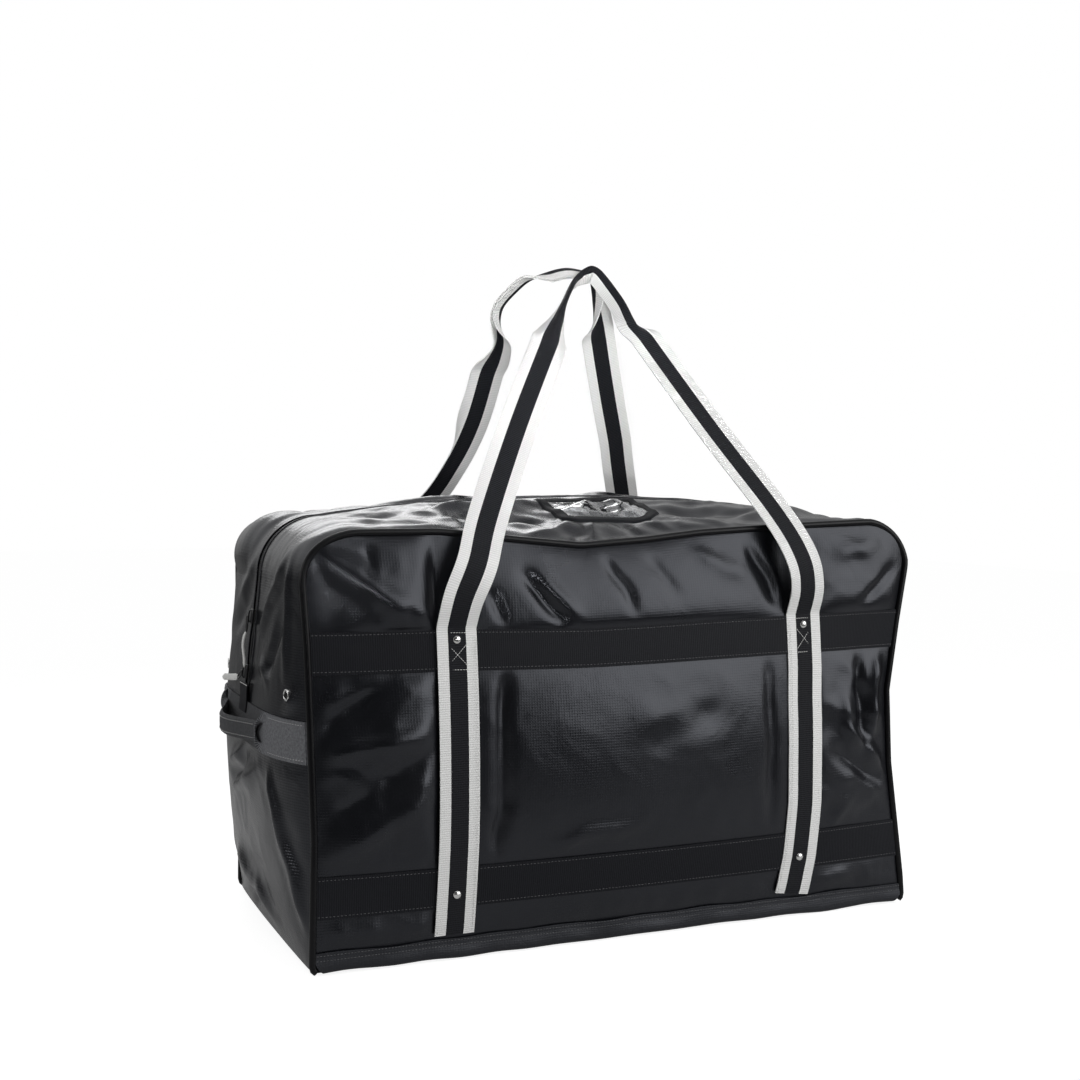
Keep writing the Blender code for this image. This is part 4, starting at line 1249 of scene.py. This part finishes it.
# %% Tape, coil and folded edges
TAPE_LOW, TAPE_HIGH, COIL_OUT = -0.0030, -0.0022, -0.0011
TAPE_INNER, TAPE_OUTER = 0.0024, 0.0170
COIL_PITCH, COIL_R = 0.0021, 0.00085
COIL_INNER, COIL_OUTER = 0.0002, 0.0046
EDGE_ROLL, ZIP_SEAM = 0.0011, 0.0145
for side, hand, half, label in QUARTERS:
    s = np.linspace(ZIP_END - 0.006, S_TOP, 130)
    y = half * np.linspace(TAPE_INNER, TAPE_OUTER, 4)
    ss, yy = np.meshgrid(s, y, indexing="ij")
    bottom, top = on_strip(side, ss, yy, TAPE_LOW), on_strip(side, ss, yy, TAPE_HIGH)
    under = slab(f"{hand}_{label}_tape", bottom, top, np.stack([yy, ss], -1), ZIP_TAPE)
    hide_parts(f"{label}_zip_tape", f"{hand}_zip_tape")
    bend(under, side, label)
    turns = np.arange(ZIP_END, S_TOP, COIL_PITCH)
    rows = np.array([COIL_INNER, COIL_OUTER]) * half
    coil_points = on_strip(side, turns[:, None], rows[None], COIL_OUT)
    centre = coil_points.mean(1)
    coil_up = on_strip(side, turns, np.full(len(turns), TAPE_INNER * half), 0.003) - centre
    across = coil_points[:, 1] - coil_points[:, 0]
    coil = bars_across(f"{hand}_{label}_coil", centre, across, coil_up, COIL, COIL_OUTER, COIL_R)
    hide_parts(f"{label}_zip_teeth", f"{hand}_zip_teeth")
    bend(coil, side, label)
    lip = on_strip(side, s[2:], np.full(len(s) - 2, half * ZIP_SLOT), 0.0001)
    edge = tube(f"{hand}_{label}_folded_edge", lip, EDGE_ROLL, TOP_TARP, 8)
    bend(edge, side, label)
    line = line_on(left_or_right(side), s[2:], np.full(len(s) - 2, half * ZIP_SEAM), 0.0)
    thread = stitches(f"{hand}_{label}_zip_seam", *line, BLACK_THREAD, 0.0036, 0.0026, 0.0004)
    bend(thread, side, label)
print("zip done")

# %% [markdown]
# ## End bands and grips
# A webbing band is sewn across each end. A second length lies over it. Its two edges are folded to the
# middle and sewn down where the hand goes, and there it stands off the bag. A bent bar would read as
# plastic, so the flat webbing is folded here as it is on the bag. The grip is made in two halves, which
# meet at its middle.

# %% End bands
def end_band(side, label):
    y = np.linspace(-HALF_D + WEB_INSET, HALF_D - WEB_INSET, 90)
    z = np.linspace(-WEB_WIDTH / 2, WEB_WIDTH / 2, 9)
    yy, zz = np.meshgrid(y, z, indexing="ij")
    bottom = on_strip(side, END_BAND + zz, yy, WEB_LIFT)
    top = on_strip(side, END_BAND + zz, yy, WEB_LIFT + WEB)
    band = slab(f"{label}_band_webbing", bottom, top, np.stack([zz, yy], -1), END_WEB)
    shell(band, f"{label}_end_band")


# %% The folded sheet of half a grip
GRIP_FREE, GRIP_STAND = 0.118, 0.0235
GRIP_END, GRIP_SEWN = 0.209, 0.125
GRIP_LIFT, FOLD_THICK = 0.0026, 0.0026
FOLD_FROM, FOLD_TO = 0.094, 0.124


def grip_line(y):
    """How far the grip stands off its band, along the band."""
    return GRIP_STAND * np.cos(np.pi / 2 * np.clip(np.abs(y) / GRIP_FREE, 0, 1)) ** 2


def grip_sheet(side, yy, ss):
    """Points of the grip's webbing, flat where it is sewn down and folded where it stands off."""
    fold = 1 - ramp_up(np.abs(yy), FOLD_FROM, FOLD_TO)
    quarter = WEB_WIDTH / 4
    over = np.clip(np.abs(ss) - quarter, 0, None)
    turned_over = np.pi * fold * 0.985
    height = np.sign(ss) * (np.minimum(np.abs(ss), quarter) + over * np.cos(turned_over))
    proud = 0.6 * over * np.sin(turned_over) + fold * FOLD_THICK * ramp_up(over, 0, 0.003)
    away = GRIP_LIFT + grip_line(yy) + proud
    base_point = on_strip(side, np.full_like(yy, END_BAND), yy, 0.0)
    slope = on_strip(side, END_BAND + height, yy, 0.0)
    mix = ramp_up(grip_line(yy), 0.0, 0.006)
    upright = base_point + np.stack([0 * yy, 0 * yy, height], -1)
    middle = slope * (1 - mix[..., None]) + upright * mix[..., None]
    middle[..., 0] += side * away
    middle[..., 2] -= 0.10 * grip_line(yy)
    return middle


# %% Grips with their seams
SEWN_PART, FREE_PART = slice(1, 25), slice(44, None)


def half_grip(side, label, half, part):
    y = np.concatenate([np.linspace(GRIP_END, GRIP_SEWN, 26)[:-1], np.linspace(GRIP_SEWN, 0.0, 70)])
    s = np.linspace(-WEB_WIDTH / 2, WEB_WIDTH / 2, 25)
    yy, ss = np.meshgrid(half * y, s, indexing="ij")
    middle = grip_sheet(side, yy, ss)
    grip = thick(f"{label}_{part}_grip", middle, np.stack([ss, yy], -1), END_WEB)
    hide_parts(f"{label}_grip")
    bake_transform(grip)
    for kind, row, body, span, k, radius in (
        ("sewn", "upper", "bag_shell", SEWN_PART, 22, 0.00032),
        ("sewn", "lower", "bag_shell", SEWN_PART, 2, 0.00032),
        ("grip", "upper", f"{label}_grip", FREE_PART, 20, 0.00036),
        ("grip", "lower", f"{label}_grip", FREE_PART, 4, 0.00036),
    ):
        up = np.broadcast_to((float(side), 0.0, 0.0), middle[span, k].shape)
        seam = middle[span, k] + up * (WEB / 2 + 0.0001)
        name = f"{label}_{part}_{kind}_{row}_seam"
        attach(stitches(name, seam, up, WHITE_THREAD, 0.0050, 0.0026, radius), body)


for side, label in LEFT_AND_RIGHT:
    end_band(side, label)
    for half, part in FRONT_AND_BACK:
        half_grip(side, label, half, part)
print("grips done")

# %% [markdown]
# ## Tabs and vents
# A folded tab of webbing covers the foot of each zip, and nickel eyelets let the bag breathe. An eyelet
# could be a plain ring, but a real one has a rolled lip with a step to the cloth. So its outline is
# turned on an axis, and a dark disc behind it is painted shade, where the hole looks into the bag.

# %% Webbing tab over the foot of each zip
TAB_TOP, TAB_SEAM = 0.3265, 0.3248
for side, label in LEFT_AND_RIGHT:
    s = np.linspace(END_BAND + 0.012, TAB_TOP, 12)
    y = np.linspace(-0.0185, 0.0225, 12)
    ss, yy = np.meshgrid(s, y, indexing="ij")
    lift = 0.0022 + 0.0012 * ramp_up(ss, 0.30, TAB_TOP)
    bottom, top = on_strip(side, ss, yy, lift), on_strip(side, ss, yy, lift + WEB)
    tab = slab(f"{label}_tab", bottom, top, np.stack([yy, ss], -1), BAND_WEB)
    shell(tab, f"{label}_zip_tab")
    line = line_on(left_or_right(side), np.full(12, TAB_SEAM), y, 0.0034 + WEB)
    shell(stitches(f"{label}_tab_seam", *line, WHITE_THREAD, 0.0034, 0.0032, 0.0006))
print("tabs done")

# %% Vent eyelets
EYELET = [
    (0.0049, -0.0018), (0.0049, 0.0003), (0.0053, 0.0008), (0.0060, 0.0010), (0.0067, 0.0008),
    (0.0072, 0.0003), (0.0073, -0.0018),
]
HOLE = [(0.0001, 0.0001), (0.0022, 0.0001), (0.0050, 0.0001)]
VENT_Z, VENT_Y, VENT_OUT = 0.332, 0.174, 0.0014
for side, label in LEFT_AND_RIGHT:
    for half, part in FRONT_AND_BACK:
        at, up = line_on(left_or_right(side), np.array([VENT_Z]), np.array([half * VENT_Y]), VENT_OUT)
        up = up + np.array([0, half * 0.22, 0])
        ring = lathe(f"{label}_{part}_vent", EYELET, 32, NICKEL, standing(at[0], up[0]))
        shell(ring, f"{label}_{part}_eyelet")
        # A dark disc of painted shade fills the hole of each eyelet.
        hole = lathe(f"{label}_{part}_vent_hole_shade", HOLE, 24, PIPING, standing(at[0], up[0]))
        shell(hole)
print("eyelets done")

# %% [markdown]
# ## Zip sliders and pulls
# A slider has a wide mouth, a narrower tail and a bridge that holds the pull. The pull is a flat black
# link and a moulded white end. Bevelled boxes would keep straight sides, so these are lofts through
# rounded sections. The upper pull hangs down the zip, the lower one lies sideways to the back.


# %% A loft through rounded sections
def rounded(name, rings, material, place_at, sides=20, power=2.8):
    """Each ring is (along, half width, half height, rise, shift)."""
    turn = np.arange(sides) * 2 * np.pi / sides
    c, s = np.cos(turn), np.sin(turn)
    shape = []
    for along, wide, tall, rise, shift in rings:
        x = np.sign(s) * np.abs(s) ** (2 / power) * tall + rise
        y = np.sign(c) * np.abs(c) ** (2 / power) * wide + shift
        shape.append(np.stack([x, y, np.full(sides, along)], -1))
    obj = build(name, np.array(shape), ring_faces(len(rings), sides, ends=True), material)
    obj.data.set_sharp_from_angle(angle=math.radians(50))
    obj.data.transform(place_at)
    return obj


# %% Sliders, on the lean of the left end
LEAN = math.atan2(0.021, 0.185)
UP = Vector((math.sin(LEAN), 0, math.cos(LEAN)))
OUT = Vector((-math.cos(LEAN), 0, math.sin(LEAN)))


def seated(point, up, out):
    """Local x is out of the bag, y along the bag's depth, z up the zip."""
    return Matrix.Translation(point) @ Matrix((out, (0, 1, 0), up)).transposed().to_4x4()


LAID_BACK = Matrix((OUT, -UP, (0, 1, 0))).transposed().to_4x4()
SLIDER_SPOTS = {"upper": Vector((-0.4428, 0, 0.41255)), "lower": Vector((-0.4510, 0, 0.34055))}
PLATE = [
    (-0.0102, 0.0030, 0.0008), (-0.0097, 0.0042, 0.0016), (-0.0080, 0.0050, 0.0021), (-0.002, 0.0055, 0.0024),
    (0.004, 0.0066, 0.0024), (0.0078, 0.0069, 0.0021), (0.0094, 0.0062, 0.0015), (0.0099, 0.0050, 0.0008),
]
ARCH = [
    (0.0008, 0, -0.0072), (0.0028, 0, -0.0066), (0.0036, 0, -0.003),
    (0.0036, 0, 0.003), (0.0028, 0, 0.0066), (0.0008, 0, 0.0074),
]
WIRE_R = 0.0011
for label, middle in SLIDER_SPOTS.items():
    body = "upper_slider" if label == "upper" else "bag_shell"
    at = seated(middle, UP, OUT)
    plate = [(along, wide, tall, -0.0010, 0.0) for along, wide, tall in PLATE]
    slider = rounded(f"{label}_slider_body", plate, BLACK_METAL, at)
    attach(slider, body)
    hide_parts(f"{label}_slider")
    arch = [at @ Vector(p) for p in smooth_line(ARCH, 5)]
    bridge = tube(f"{label}_slider_bridge", arch, WIRE_R, BLACK_METAL, 8)
    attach(bridge, body)
print("sliders done")


# %% Pulls
LINK_MIDDLE, LINK_REACH, LINK_HALF = 0.0098, 0.0106, 0.0030
PULL_START, PULL_LENGTH, PULL_THICK = 0.0192, 0.0478, 0.0018


def droop(label, along):
    """How far the end of the lower pull sinks, because nothing holds it up."""
    along = max(0.0, along)
    return 0.0 if label == "upper" else 0.48 * min(along, 0.02) + 0.12 * max(0.0, along - 0.02)


for label, middle in SLIDER_SPOTS.items():
    pivot = middle + OUT * (0.003 + 0.0006 + WIRE_R)
    at = seated(pivot, -UP, OUT) if label == "upper" else Matrix.Translation(pivot) @ LAID_BACK
    loop = []
    for k in range(33):
        a = 2 * math.pi * k / 32
        along = LINK_MIDDLE + LINK_REACH * math.copysign(abs(math.cos(a)) ** 0.6, math.cos(a))
        wide = LINK_HALF * math.copysign(abs(math.sin(a)) ** 0.7, math.sin(a))
        loop.append(at @ Vector((0, wide + droop(label, along), along)))
    link = tube(f"{label}_pull_link", loop, WIRE_R, BLACK_METAL, 8, ends=False)
    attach(link, f"{label}_pull")
    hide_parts(f"{label}_puller")
    curl = 0.0022 if label == "upper" else 0.0008
    rings = []
    for t in np.linspace(0, 1, 26):
        edge = min(1.0, 0.35 + 6 * min(t, 1 - t)) if 0.001 < t < 0.999 else 0.3
        wide = 0.0031 + 0.0008 * t if label == "upper" else 0.0044
        along = PULL_START + PULL_LENGTH * t
        bent = curl * math.sin(t * math.pi * 1.6) + (0.0 if label == "upper" else 0.011 * t**1.4)
        rings.append((along, wide * edge, PULL_THICK * edge, bent, droop(label, along)))
    handle_end = rounded(f"{label}_pull_end", rings, WHITE_PULL, at, 18, 3.0)
    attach(handle_end, f"{label}_pull")
    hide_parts(f"{label}_pull_tab")
print("pulls done")

# %% [markdown]
# ## Name window
# A pocket of clear vinyl is bound with black tape on the front half of the top. Old vinyl wrinkles, and
# it is the wrinkles that catch the light. A flat pane with bump would flash all at once, so the sheet is
# a thin closed slab with real folds in it.


# %% Outlines on the top of the bag
def on_top(x, y, out):
    x, y = np.broadcast_arrays(np.asarray(x, float), np.asarray(y, float))
    s = S_TOP - np.abs(x)
    return np.where((x < 0)[..., None], on_strip(-1, s, y, out), on_strip(1, s, y, out))


def inset(corners, amount):
    """The same outline, drawn in by amount."""
    corners = np.array(corners)
    found = []
    for k in range(len(corners)):
        before, here, after = corners[k - 1], corners[k], corners[(k + 1) % len(corners)]
        first, second = unit(here - before), unit(after - here)
        n1, n2 = np.array([first[1], -first[0]]), np.array([second[1], -second[0]])
        middle = (n1 + n2) / (1 + np.dot(n1, n2))
        found.append(here + middle * amount)
    return np.array(found)


def walk_round(corners, counts):
    found = []
    for k, count in enumerate(counts):
        a, b = corners[k], corners[(k + 1) % len(corners)]
        found += [a + (b - a) * t for t in np.arange(count) / count]
    return np.array(found + [corners[0]])


# %% The tape that binds the window
WINDOW = [
    (-0.062, -0.037), (0.089, -0.037), (0.089, -0.118), (0.062, -0.146), (-0.046, -0.146), (-0.062, -0.132),
]
COUNTS = (34, 18, 10, 26, 6, 22)
WINDOW_SEAMS = (("outer", 0.003), ("inner", 0.0125))
TAPE = [
    (0.0, 0.0006, -0.0078), (0.0015, 0.0020, -0.006), (0.005, 0.0026, -0.003),
    (0.010, 0.0026, 0.003), (0.0135, 0.0020, 0.006), (0.0155, 0.0010, 0.0078),
]
inwards, lift, across = np.array(TAPE).T
rims = np.stack([walk_round(inset(WINDOW, amount), COUNTS) for amount in inwards], 1)
x, y = rims[..., 0], rims[..., 1]
uv = spread_out(across[None], run_along(rims[:, 0])[:, None])
binding = slab("window_binding", on_top(x, y, -0.0006), on_top(x, y, lift[None]), uv, BAND_WEB)
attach(binding, "front_flap")
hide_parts("id_window_frame")
for row, amount in WINDOW_SEAMS:
    path = walk_round(inset(WINDOW, amount), COUNTS)
    line = line_on(on_top, path[:, 0], path[:, 1], 0.0025)
    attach(stitches(f"window_{row}_seam", *line, BLACK_THREAD), "front_flap")
print("binding done")

# %% The clear sheet, from its middle out to the tape
VINYL_LOW, VINYL_TOP = 0.0011, 0.0016
edge = walk_round(inset(WINDOW, 0.013), COUNTS)
middle = np.array([0.014, -0.090])
share = np.linspace(0.02, 1, 44)[:, None, None]
spots = middle + (edge[None] - middle) * share
x, y = spots[..., 0], spots[..., 1]
free = ramp_up(1 - share[..., 0], 0.0, 0.25)
ridges = 0.0030 + 0.0066 * soft_noise(x * 32 + 2, y * 21, 81) + 0.0022 * soft_noise(x * 64, y * 40 + 4, 82)
ridges = np.maximum(ridges, -0.0006)
skin_top = on_top(x, y, VINYL_TOP + free * ridges)
skin_low = on_top(x, y, VINYL_LOW + free * ridges)
vinyl = slab("window_vinyl", skin_low, skin_top, np.stack([x, y], -1), VINYL)
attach(vinyl, "front_flap")
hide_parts("id_window")
print("window done")

# %% [markdown]
# Cloth that is drawn can grow past the real bag without being seen. So the box of the finished
# pieces is printed.

# %% Print the box of the finished pieces
low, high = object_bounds()
print("visual box", [round(v, 4) for v in low], [round(v, 4) for v in high])
